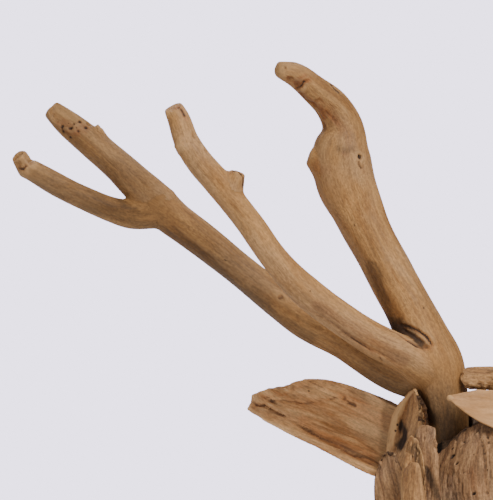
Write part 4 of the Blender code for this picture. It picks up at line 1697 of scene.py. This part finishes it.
@dataclass
class Bed:
    """The inner mass of glued slats, which shows only in the gaps.

    Args:
        node: The solid that it stands for.
        voxel: The width of its faces in metres.
        relief: How its surface is cut.
        seed: Its own number.
    """

    node: str = "slat_bed"
    voxel: float = 2.2 * MM
    relief: Relief = Relief(swell=1.0, groove=1.0, groove_width=4.0, flake=1.2)
    seed: int = 77

    HEAD_START, HEAD_END = 250 * MM, 290 * MM
    HEAD_LEAN = 52

    def build(self) -> Surface:
        """Cuts long grooves up the neck and along the head.

        Returns:
            The piece's skin, ready for its finish.
        """
        surface = melted(node_shape(self.node, 0.0), self.voxel)
        surface.relax(2)
        surface.grain = surface.points / MM
        above = eased(surface.points[:, 2], self.HEAD_START, self.HEAD_END)
        cos, sin = math.cos(math.radians(self.HEAD_LEAN)), math.sin(math.radians(self.HEAD_LEAN))
        tipped = surface.grain @ np.array([[1, 0, 0], [0, cos, sin], [0, -sin, cos]])
        upright, upright_cut = self.relief.height(surface.grain, self.seed)
        laid, laid_cut = self.relief.height(tipped, self.seed)
        surface.push((upright * (1 - above) + laid * above) - 0.8)
        surface.mark("hollow", upright_cut * (1 - above) + laid_cut * above)
        surface.read_wear(0.8, 8, 0.9)
        return surface

    def dress(self, surface: Surface) -> None:
        """Gives the slats their dark finish."""
        surface.piece("inner_slats", Wood.BED, "bed", self.node)


@dataclass
class Splinters:
    """Short splinters glued over the bed wherever no board covers it.

    Args:
        name: The piece's name.
        wood: Their finish.
        turn: Which of the kinds this is, from 0 to kinds - 1.
        kinds: How many such pieces share the free spots.
        crown: Where their free ends point, in millimetres.
        spacing: The least distance between two, in millimetres.
        tries: How many places are looked at.
        seed: Their own number.
    """

    name: str
    wood: Wood
    turn: int
    kinds: int = 2
    crown: Place = (0, -5, 372)
    spacing: float = 10.5
    tries: int = 2600
    seed: int = 700

    RINGS = 22
    SIDES = 16
    # The bed is felt for from ABOVE it, and where none is met it counts as DEEPEST, in millimetres
    ABOVE = 30
    DEEPEST = -15.0
    STEP = 3.0
    SHORTEST = 16

    def build(self) -> Surface:
        """Lays a splinter at each free spot of the bed that is this kind's turn.

        Returns:
            The piece's skin, ready for its finish.
        """
        self.bed = self.tree(["slat_bed"])
        self.covers = self.tree([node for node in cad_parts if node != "slat_bed"])
        skins, grains, tones = [], [], []
        for number, (place, outward) in enumerate(self.spots()):
            dice = np.random.default_rng(self.seed + number)
            mine = number % self.kinds == self.turn
            laid = self.splinter(place, outward, dice) if mine else None
            if laid is not None:
                points, faces, grain = laid
                skins.append((points, faces))
                grains.append(grain)
                # A random tone, biased darker: partly real variation and partly painted shade for splinters
                # lying in the shade between boards
                tones.append(np.full(len(points), dice.uniform(-0.3, 0.12)))
        points, faces = gathered(skins)
        surface = Surface(points, np.array(faces))
        surface.grain = np.vstack(grains)
        height, cut = SPLIT.height(surface.grain, self.seed + self.turn)
        surface.push(0.6 * height)
        surface.mark("hollow", 0.5 * cut)
        surface.read_wear(0.9, 3, 0.6)
        surface.marks["tone"] = np.concatenate(tones)
        LOG.info("%s: %d splinters", self.name, len(skins))
        return surface

    def tree(self, nodes: list[str]) -> BVHTree:
        """A search tree over the solids of some nodes.

        Args:
            nodes: The solids' names.

        Returns:
            The tree.
        """
        skins = []
        for node in sorted(nodes):
            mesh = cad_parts[node].data
            points = np.array([vert.co[:] for vert in mesh.vertices])
            skins.append((points, [tuple(face.vertices) for face in mesh.polygons]))
        points, faces = gathered(skins)
        return BVHTree.FromPolygons(points.tolist(), faces)

    def is_free(self, place: Vector, outward: Vector) -> bool:
        """Whether nothing lies over a place of the bed."""
        return self.covers.ray_cast(place + outward * 0.5 * MM, outward, 70 * MM)[0] is None

    def spots(self) -> list[tuple[Vector, Vector]]:
        """Free places of the bed and the outward directions there, lowest first.

        Returns:
            Each spot's place and outward direction.
        """
        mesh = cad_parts["slat_bed"].data
        dice = np.random.default_rng(self.seed)
        areas = np.array([face.area for face in mesh.polygons])
        chosen = dice.choice(len(areas), self.tries, p=areas / areas.sum())
        kept: list[tuple[Vector, Vector]] = []
        for index in chosen:
            face = mesh.polygons[int(index)]
            corners = [mesh.vertices[vert].co for vert in face.vertices]
            shares = dice.dirichlet((1, 1, 1))
            place = sum((corner * float(share) for corner, share in zip(corners, shares)), Vector())
            near = self.bed.find_nearest_range(place, 11 * MM)
            outward = sum((hit[1] for hit in near), Vector()).normalized()
            if place.z < 5 * MM or outward.z < -0.85 or not self.is_free(place, outward):
                continue
            if all((place - other).length > self.spacing * MM for other, _ in kept):
                kept.append((place, outward))
        return sorted(kept, key=lambda spot: spot[0].z)

    def room(self, place: Vector, outward: Vector, way: Vector, most: float) -> float:
        """How far a splinter can reach before a board covers it, in millimetres.

        Args:
            place: Where the splinter lies.
            outward: The direction out of the bed.
            way: The direction that it reaches in.
            most: How far it may reach.

        Returns:
            The reach, up to most.
        """
        reach = 0.0
        while reach < most:
            reach += self.STEP
            above = place + way * reach * MM + outward * self.ABOVE * MM
            point = self.bed.ray_cast(above, -outward, 55 * MM)[0]
            if point is None:
                return reach - self.STEP
            if not self.is_free(point, outward):
                return min(most, reach + 4.0)
        return most

    def splinter(
        self, place: Vector, outward: Vector, dice: np.random.Generator
    ) -> tuple[np.ndarray, list, np.ndarray] | None:
        """One splinter, bent to the bed.

        Args:
            place: Its place on the bed.
            outward: The direction out of the bed there.
            dice: Its own random numbers.

        Returns:
            Its points, faces and grain, or None where it would be too short.
        """
        upward = Vector(self.crown) * MM - place
        upward = (upward - outward * upward.dot(outward)).normalized()
        turn = Matrix.Rotation(math.radians(dice.uniform(-14, 14)), 3, outward)
        upward = turn @ upward
        across = outward.cross(upward)
        up = self.room(place, outward, upward, dice.uniform(18, 46))
        down = self.room(place, outward, -upward, dice.uniform(10, 22))
        side = min(self.room(place, outward, across, 12), self.room(place, outward, -across, 12))
        if up + down < self.SHORTEST:
            return None
        half = min(dice.uniform(5, 10), side + 2.5)
        thick = dice.uniform(2.2, 3.4)
        steps = np.linspace(-down, up, self.RINGS)
        lift = 0.2 * thick + dice.uniform(0, 1.6)
        heights = self.bent(place, outward, upward, steps) + lift
        share = (steps + down) / (up + down)
        taper = np.interp(share, (0, 0.15, 0.6, 1), (0.75, 1, 0.95, dice.uniform(0.35, 0.75)))
        ends = np.clip(np.minimum(share, 1 - share) * 14 + 0.35, 0, 1)
        wide, high = half * taper * ends**0.5, thick * ends
        up_way, side_way, out_way = (np.array(way) for way in (upward, across, outward))
        centres = np.array(place) / MM + steps[:, None] * up_way + heights[:, None] * out_way
        points, faces = tube(centres, wide[:, None] * side_way, high[:, None] * out_way, self.SIDES)
        apart = points - np.repeat(centres, self.SIDES, axis=0)
        u, v = apart @ side_way, apart @ out_way
        points = points + (0.35 * np.sign(u) * np.abs(v))[:, None] * side_way
        torn = 5 * Noise(int(dice.integers(1000))).layered(np.column_stack([u / 3, v / 3, 0 * u]), 2)
        to_end = np.abs(np.repeat(share, self.SIDES) - 0.5) * 2
        points = points + (torn * to_end**6)[:, None] * up_way
        grain = np.column_stack([u, v, np.repeat(steps, self.SIDES)]) + dice.uniform(-400, 400, 3)
        return points * MM, faces, grain

    def bent(self, place: Vector, outward: Vector, upward: Vector, steps: np.ndarray) -> np.ndarray:
        """How high the splinter's middle lies at each step, in millimetres.

        Args:
            place: Its place on the bed.
            outward: The direction out of the bed there.
            upward: The direction to its free end.
            steps: How far along it each step is, in millimetres.

        Returns:
            The heights over its plane: a smooth bend over the bed, with the free end lifted.
        """
        heights = []
        for step in steps:
            above = place + upward * float(step) * MM + outward * self.ABOVE * MM
            _, _, _, off = self.bed.ray_cast(above, -outward, 45 * MM)
            heights.append(self.ABOVE - off / MM if off is not None else self.DEEPEST)
        bend = np.polynomial.polynomial.polyfit(steps, heights, 2)
        fitted = np.polynomial.polynomial.polyval(steps, bend)
        return fitted + np.quantile(heights - fitted, 0.7) + 1.8 * np.clip(steps / 40, 0, 1)

    def dress(self, surface: Surface) -> None:
        """Gives the splinters their finish."""
        surface.piece(self.name, self.wood, "board")


@dataclass
class Knob:
    """A knob of dark wood, with rings round its middle.

    Args:
        node: The solid that it stands for.
        seed: Its own number.
        voxel: The width of its faces in metres.
    """

    node: str
    seed: int
    voxel: float = 0.8 * MM

    NOSE_FACING = (0, -0.79, -0.61)
    RING_WIDTH = 2.3

    def build(self) -> Surface:
        """Rounds the solid and cuts its rings.

        Returns:
            The piece's skin, ready for its finish.
        """
        surface = melted(node_shape(self.node, 0.0), self.voxel, 2)
        surface.relax(3)
        centre = surface.points.mean(axis=0)
        out = np.array(self.NOSE_FACING) if self.node == "nose" else np.sign(centre) * (1, 0, 0)
        apart = (surface.points - centre) / MM
        deep = apart @ out
        off = np.linalg.norm(apart - deep[:, None] * out, axis=1)
        wobble = Noise(self.seed).layered(apart / 6, 2)
        surface.grain = np.column_stack([off * 1.2 + 1.5 * wobble, deep, np.full(len(off), 3.0)])
        rings = np.sin(2 * math.pi * (off + wobble) / self.RING_WIDTH)
        surface.push(0.12 * rings + 0.4 * wobble - 0.3)
        surface.read_wear(0.3, 8, 0.6)
        return surface

    def dress(self, surface: Surface) -> None:
        """Gives the knob its finish."""
        surface.piece(f"{self.node}_knob", Wood.KNOB, "dark", self.node)


@dataclass
class Studio:
    """The plain floor and the soft light.

    Args:
        floor_radius: In metres, less than where the photograph's lowest ray meets the ground.
        backdrop: The colour behind the bust.
        ambient: The strength of the light from all round.
    """

    floor_radius: float = 4.2
    backdrop: Colour = (2.90, 2.67, 3.43)
    ambient: float = 0.4

    AMBIENT_COLOUR = (0.93, 0.94, 1.0, 1)
    FLOOR_COLOURS = ((0.70, 0.695, 0.72), (0.74, 0.735, 0.76))
    LIGHTS = (
        ("key", (1.1, -1.6, 2.3), 1.2, 80),
        ("fill", (-1.9, -1.6, 0.9), 1.6, 12),
        ("back", (-0.4, 1.6, 2.2), 1.5, 28),
    )
    AIM = (0, 0, 0.38)

    def build(self) -> None:
        """Makes the floor, the world and the lights."""
        self.floor()
        self.world()
        for light in self.LIGHTS:
            self.softbox(*light)

    def floor(self) -> None:
        """A plain pale disc."""
        bm = bmesh.new()
        bmesh.ops.create_circle(bm, cap_ends=True, segments=128, radius=self.floor_radius)
        mesh = bpy.data.meshes.new("floor")
        bm.to_mesh(mesh)
        bm.free()
        material = bpy.data.materials.new("pale floor")
        material.use_nodes = True
        shader = material.node_tree.nodes["Principled BSDF"]
        sheet = Sheet(material.node_tree)
        noise = sheet.add("ShaderNodeTexNoise", {"Scale": 3.0, "Detail": 2.0}).outputs["Fac"]
        colour = sheet.mix(noise, *self.FLOOR_COLOURS)
        sheet.feed(shader.inputs["Base Color"], colour)
        shader.inputs["Roughness"].default_value = 0.9
        place = sheet.add("ShaderNodeNewGeometry").outputs["Position"]
        away = sheet.add("ShaderNodeVectorMath", {0: place}, operation="LENGTH").outputs["Value"]
        fade = sheet.spread(away, 0.2, self.floor_radius, 0.12, 0.97)
        direct = sheet.add("ShaderNodeLightPath").outputs["Is Camera Ray"]
        shader.inputs["Emission Color"].default_value = (*self.backdrop, 1)
        sheet.feed(shader.inputs["Emission Strength"], sheet.math("MULTIPLY", fade, direct))
        mesh.materials.append(material)
        placed("floor", mesh)

    def world(self) -> None:
        """Even light from all round, with the backdrop's colour behind the bust."""
        world = bpy.data.worlds.new("studio")
        world.use_nodes = True
        bpy.context.scene.world = world
        sheet = Sheet(world.node_tree)
        lit = world.node_tree.nodes["Background"]
        lit.inputs["Color"].default_value = self.AMBIENT_COLOUR
        lit.inputs["Strength"].default_value = self.ambient
        seen = sheet.add("ShaderNodeBackground", {"Color": (*self.backdrop, 1), "Strength": 1.0})
        direct = sheet.add("ShaderNodeLightPath").outputs["Is Camera Ray"]
        both = sheet.add("ShaderNodeMixShader", {0: direct, 1: lit.outputs[0], 2: seen.outputs[0]})
        sheet.feed(world.node_tree.nodes["World Output"].inputs["Surface"], both.outputs[0])

    def softbox(self, name: str, place: Place, size: float, power: float) -> None:
        """A square light that faces the bust.

        Args:
            name: Its name.
            place: Its place in metres.
            size: Its side in metres.
            power: In watts.
        """
        data = bpy.data.lights.new(name, "AREA")
        data.size = size
        data.energy = power
        made = placed(name, data)
        made.location = place
        aim = Vector(self.AIM) - Vector(place)
        made.rotation_euler = aim.to_track_quat("-Z", "Y").to_euler()


RIGHT_ANTLER_MARKS = (
    # The hook: a bulb at its tip, and a chewed, reddish inner edge
    Swelling((289, 81), 3.4, -1.9, 0.4),
    Swelling((297, 87), 4.0, -1.8, 1.0),
    Swelling((304, 92), 2.8, 1.0, 0.3),
    Swelling((300, 96), 3.2, -1.6, 0.6),
    Swelling((313, 106), 3.4, -1.4, 0.8),
    Swelling((322, 126), 3.2, -2.2, 0.5),
    Crack(((295, 91), (300, 86), (305, 82), (311, 80)), 0.9, 1.8, 0.75, 0.9),
    Stain(((296, 84), (301, 81), (306, 78)), 3.0, 1.0),
    Stain(((297, 82), (303, 80)), 2.0, 0.2, "shade"),
    Stain(((288, 80), (297, 90), (306, 99), (318, 109), (323, 118)), 3.2, 0.9),
    Stain(((294, 88), (304, 98), (316, 108)), 2.2, 0.35, "hollow"),
    Crack(((298, 94), (302, 99), (308, 103), (314, 106)), 0.9, 1.2, 0.65, 0.6),
    Crack(((314, 103), (320, 101), (324, 104)), 0.9, 0.7, 0.25, 0.5),
    Crack(((324, 112), (331, 118), (338, 126)), 0.8, 0.6, 0.35, 0.8),
    Crack(((332, 83), (336, 87), (342, 92)), 1.2, 1.6, 0.95),
    Hole((333, 84), 1.2, 1.4),
    Crack(((283, 63), (287, 66), (285, 70)), 0.7, 0.7, 0.6),
    # The shoulder
    Hole((362, 156), 1.8, 2.8),
    Crack(((360, 159), (361, 164), (364, 169)), 1.1, 1.2, 0.6, 0.3),
    Stain(((338, 147), (347, 151), (353, 148)), 3.0, 0.4, "shade"),
    Stain(((345, 152), (348, 154)), 2.5, 0.5),
    Stain(((314, 168), (322, 171)), 6.0, 0.4),
    Stain(((330, 110), (345, 130), (352, 145)), 5.0, 0.3),
    # The crevice between the beam and the brow limb, with painted shade in it and up the beam's left side
    Crack(((396, 325), (406, 327), (417, 331), (426, 336), (432, 343), (429, 347)), 0.9, 1.8, 0.85, 0.5),
    Crack(((386, 325), (397, 331), (408, 338), (418, 345), (429, 347)), 1.1, 2.2, 0.9, 0.5),
    Crack(((400, 329), (409, 333), (417, 338), (423, 342)), 0.8, 1.2, 0.7, 0.5),
    Stain(((386, 318), (396, 326), (412, 335)), 7.0, 0.85, "shade"),
    Stain(((400, 330), (420, 340), (430, 345)), 4.0, 0.5),
    Stain(((392, 326), (408, 333), (422, 341)), 5.0, 1.0, "shade"),
    Stain(((391, 322), (385, 306), (378, 288), (371, 268)), 6.5, 0.55, "shade"),
    Hole((424, 306), 0.7, 0.6),
    # The seam between the brow limb and the outer limb
    Crack(((288, 298), (318, 317), (345, 334), (372, 351), (400, 367)), 0.9, 0.9, 0.3, 0.4),
    Crack(((340, 332), (356, 343), (374, 354)), 0.8, 0.9, 0.65, 0.6),
    Stain(((318, 308), (345, 326), (372, 342), (404, 359)), 6.0, 0.55),
    Stain(((322, 312), (350, 330), (376, 346), (402, 360)), 7.0, 0.3, "shade"),
    Crack(((378, 356), (381, 362), (383, 368)), 0.7, 0.6, 0.55),
    Knot((281, 296), 1.4, -0.3, 0.5, 0.6),
    Stain(((279, 297), (284, 297)), 1.8, 0.5, "shade"),
    Stain(((309, 321), (314, 325), (319, 327)), 3.0, 0.3, "shade"),
    Hole((312, 291), 0.7, 0.6),
    # The brow limb's knot, its tip, and the notches between them
    Swelling((236, 170), 3.4, 1.0),
    Crack(((230, 170), (236, 167), (243, 171), (247, 179), (248, 188)), 1.2, 0.9, 0.85, 0.3),
    Swelling((196, 135), 3.4, -1.8),
    Swelling((203, 146), 3.0, 1.4),
    Swelling((209, 151), 3.0, -1.8, 0.3),
    Swelling((178, 148), 7.5, 2.0),
    Cut((172, 108), (-0.35, -0.45, 0.9), 1.2, 12, 0.3),
    Swelling((166, 115), 2.6, 1.2),
    Crack(((176, 106), (183, 109), (187, 116)), 1.2, 0.6, 0.65, 0.8),
    # The upper tip: a slanting facet with a pitted, reddish patch beside it
    Cut((68, 110), (-0.2, -0.9, 0.4), 1.6, 12, 0.6),
    Stain(((57, 107), (64, 112), (73, 116)), 4.5, 0.9, "wear_and_painted_highlight"),
    Stain(((62, 122), (72, 128), (86, 126)), 5.5, 0.9),
    Stain(((62, 126), (72, 126)), 3.0, 0.45, "shade"),
    Hole((69, 127), 1.6, 2.4),
    *(Hole(pixel, 1.2, 1.8) for pixel in ((81, 120), (87, 126))),
    *(Hole(pixel, 1.0, 1.6) for pixel in ((63, 124), (60, 128), (62, 133))),
    Hole((69, 139), 0.9, 1.4),
    Hole((73, 123), 1.0, 1.6),
    Hole((77, 130), 0.9, 1.4),
    *(Hole(pixel, 0.6, 1.0) for pixel in ((67, 122), (57, 120), (75, 127))),
    Swelling((91, 123), 3.0, -1.8),
    Swelling((98, 124), 2.4, 2.6),
    Swelling((104, 131), 2.4, -1.4),
    Crack(((94, 126), (99, 130), (103, 132)), 0.8, 1.0, 0.5),
    # The outer tip: a square knob over a notch
    Cut((18, 154), (-0.65, -0.1, 0.75), 1.0, 8, 0.3),
    Cut((28, 156), (0.84, -0.1, 0.54), 1.3, 7, 0.2),
    Swelling((31, 158), 3.2, -1.8),
    Swelling((17, 166), 3.0, -1.4),
    Crack(((16, 168), (22, 171), (29, 164)), 1.0, 1.0, 0.7, 0.4),
    # The fork of the outer limb, and painted shade on its underside
    Stain(((118, 196), (130, 206), (140, 214)), 4.0, 0.4, "shade"),
    Stain(((40, 178), (90, 204), (135, 222), (190, 256), (250, 300), (305, 340)), 11.0, 0.4, "shade"),
    # Painted shade deep in the crevice, drawn in the dirt colour
    Stain(((390, 325), (404, 331), (416, 338)), 3.6, 0.6, "hollow"),
    # A painted shadow cast by the ear guard on the trunk
    Stain(((420, 397), (424, 408), (431, 421)), 6.5, 0.9, "shade"),
)

ROUGH = Relief(swell=0.9, groove=0.75, groove_width=2.2, flake=0.9, pits=1.3, chew=0.16, cracks=3, holes=2)
SPLIT = Relief(swell=0.7, groove=0.5, groove_width=1.8, flake=1.0, pits=0.5, chew=0.14, cracks=3, holes=2)
PLAIN = Relief(swell=0.6, groove=0.3, groove_width=2.0, flake=0.4, pits=0.2, chew=0.08, cracks=1, holes=1)
FIBROUS = Relief(swell=0.8, groove=0.7, groove_width=1.8, flake=0.5, pits=1.0, chew=0.06)
SMOOTH = Relief(swell=0.4, groove=0.1, groove_width=2.4, flake=0.0, pits=0.0, chew=0.0)


def ears() -> list[Board]:
    """The two curled boards that serve as ears.

    Returns:
        The right one and the left one.
    """
    relief = Relief(swell=0.9, groove=0.35, groove_width=2.6, flake=0.6, chew=0.03)
    marks = (
        Crack(((251, 405), (262, 403), (272, 408), (286, 415)), 0.9, 1.3, 0.4, 0.5),
        Crack(((286, 415), (305, 427), (322, 436), (343, 446), (372, 461)), 1.2, 0.9, 0.12, 0.5),
        Swelling((284, 383), 5.5, -2.4),
        Crack(((341, 397), (347, 403), (356, 408)), 1.8, 1.3, 0.6, 0.5),
        Crack(((262, 400), (280, 399), (300, 402), (322, 399), (341, 397)), 1.1, 0.8, 0.06, 0.15),
        Stain(((345, 402), (362, 412), (384, 424)), 7.0, 0.5),
        # Painted shade on the ear where the ear guard shades it
        Stain(((388, 402), (386, 425), (384, 450), (380, 468)), 6.0, 0.45, "shade"),
        Crack(((262, 396), (282, 393), (300, 384)), 0.8, 0.6, 0.2, 0.3),
        Stain(((374, 393), (384, 398), (396, 405)), 2.5, 0.6, "hollow"),
        Stain(((300, 420), (335, 438), (372, 455)), 5.0, 0.75),
        Stain(((350, 408), (375, 418), (392, 425)), 5.0, 0.6),
        Stain(((330, 440), (350, 450), (380, 465)), 5.0, 0.35, "shade"),
    )
    shared = {"wood": Wood.EAR, "relief": relief, "slot": "branch", "voxel": 0.95 * MM, "crease": 0.3}
    return [
        Ear("ear_right", 301, marks=marks, side=-1, **shared),
        Ear("ear_left", 317, side=1, **shared),
    ]


def temple_boards() -> list[Board]:
    """The boards round the feet of the antlers.

    Returns:
        The boards, the right ones with what the photograph shows on them.
    """
    fine, plain = 0.75 * MM, 1.2 * MM
    slab_marks = (
        *(Hole(pixel, 1.3, 2.4) for pixel in ((451, 454), (455, 462), (472, 492))),
        Hole((463, 440), 0.9, 1.6),
        Hole((450, 447), 0.7, 1.2),
        Hole((473, 453), 0.7, 1.0),
        Hole((461, 472), 0.6, 0.8),
        Stain(((452, 436), (462, 427), (474, 418)), 4.0, 0.6, "hollow"),
        Crack(((455, 449), (466, 440), (474, 432), (481, 424)), 0.9, 1.0, 0.4),
        Crack(((478, 424), (482, 445), (485, 470), (486, 498)), 1.2, 1.0, 0.3),
        Crack(((487, 430), (489, 450), (491, 480)), 1.0, 1.0, 0.35),
        Stain(((470, 470), (478, 490)), 4.0, 0.25),
    )
    slat_marks = (
        Knot((438, 441), 3.0, 0.5, 0.3, 0.3),
        Crack(((423, 434), (423, 439)), 0.6, 0.6, 0.45),
        Stain(((424, 466), (431, 480), (440, 498)), 3.0, 0.85, "shade"),
    )
    splinter_marks = (Stain(((413, 446), (418, 465), (421, 498)), 4.5, 0.7, "shade"),)
    # On the right ear guard: painted shade and, in the dirt colour, a painted black shadow in its hollow,
    # painted shade along its right edge, and a painted highlight along its rim
    guard_marks = (
        Stain(((404, 427), (404, 437), (399, 447)), 5.0, 1.0, "shade"),
        Stain(((404, 428), (404, 438), (400, 446)), 3.6, 0.9, "hollow"),
        Stain(((419, 402), (420, 415), (420, 428), (414, 440)), 4.2, 0.55, "shade"),
        Stain(((414, 391), (404, 402), (396, 416), (391, 430), (390, 445)), 4.0, 1.0, "wear_and_painted_highlight"),
        Hole((398, 427), 0.7, 1.0),
        Hole((393, 432), 0.7, 1.0),
    )
    slab = Relief(swell=0.9, groove=0.2, groove_width=2.0, flake=0.5, pits=0.55, chew=0.05)
    furrowed = Relief(swell=1.0, groove=1.2, groove_width=2.8, flake=0.8, pits=1.4, chew=0.08)
    brow_marks = (Swelling((450, 396), 4.0, 1.6), Swelling((476, 391), 8.0, 1.0))
    crown_marks = (Swelling((472, 386), 6.0, 2.4), Swelling((483, 387), 6.0, 2.4))
    golden, rough = Wood.GOLDEN, Wood.WEATHERED
    return [
        Board("crown_board", 401, golden, slab, crown_marks, fine, -0.05),
        Board("brow_board", 402, Wood.PALE, SMOOTH, brow_marks, fine, 0.0, 0.7),
        Board("chip", 403, golden, SMOOTH, (), fine, 0.1, 0.3),
        EarGuard("ear_guard_right", 404, golden, slab, guard_marks, fine, 0.05),
        EarGuard("ear_guard_left", 405, golden, slab, (), plain, 0.0, rim_side=1),
        Board("temple_board_right", 406, rough, slab, slab_marks, fine, 0.12, 0.6),
        Board("temple_board_left", 407, rough, SPLIT, (), plain, 0.0),
        # The right temple slat's tone of 0.22 is painted light: it lightens the slat where the boards
        # before it shade it
        Board("temple_slat_right", 408, rough, slab, slat_marks, fine, 0.22),
        Board("temple_slat_left", 409, golden, SPLIT, (), plain, -0.05),
        Board("side_slat_right", 410, rough, furrowed, (), fine, 0.05),
        Board("side_slat_left", 411, rough, ROUGH, (), plain, 0.0),
        Board("splinter_right", 412, golden, FIBROUS, splinter_marks, fine, -0.05),
        Board("splinter_left", 413, golden, SPLIT, (), plain, -0.05),
    ]


def skin_boards() -> list[Board]:
    """The other boards of the head and neck, each of a kind drawn by lot.

    Returns:
        The boards in the order of their names.
    """
    named = {board.node for board in temple_boards()}
    nodes = sorted(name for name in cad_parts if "_board" in name and name not in named)
    dice = np.random.default_rng(8)
    made = []
    for number, node in enumerate(nodes):
        relief = (ROUGH, SPLIT, PLAIN, FIBROUS)[dice.choice(4, p=[0.25, 0.3, 0.2, 0.25])]
        wood = (Wood.WEATHERED, Wood.GOLDEN)[dice.choice(2, p=[0.62, 0.38])]
        made.append(Board(node, 500 + 7 * number, wood, relief, tone=float(dice.uniform(-0.2, 0.18))))
    return made


def main() -> None:
    """Builds and dresses every piece, then the studio."""
    logging.basicConfig(level=logging.INFO, format="%(name)s: %(message)s")
    PHOTO.camera()
    Studio().build()
    pieces = [
        Antler("antler_right", RIGHT_ROOT, RIGHT_LIMBS, 101, RIGHT_ANTLER_MARKS),
        Antler("antler_left", LEFT_ROOT, LEFT_LIMBS, 202, voxel=1.4 * MM),
        *ears(),
        *temple_boards(),
        *skin_boards(),
        Knob("nose", 601),
        Knob("eye_right", 602),
        Knob("eye_left", 603),
        Bed(),
        Splinters("weathered_splinters", Wood.WEATHERED, 0),
        Splinters("golden_splinters", Wood.GOLDEN, 1),
    ]
    for piece in pieces:
        piece.dress(piece.build())


if __name__ == "__main__":
    main()
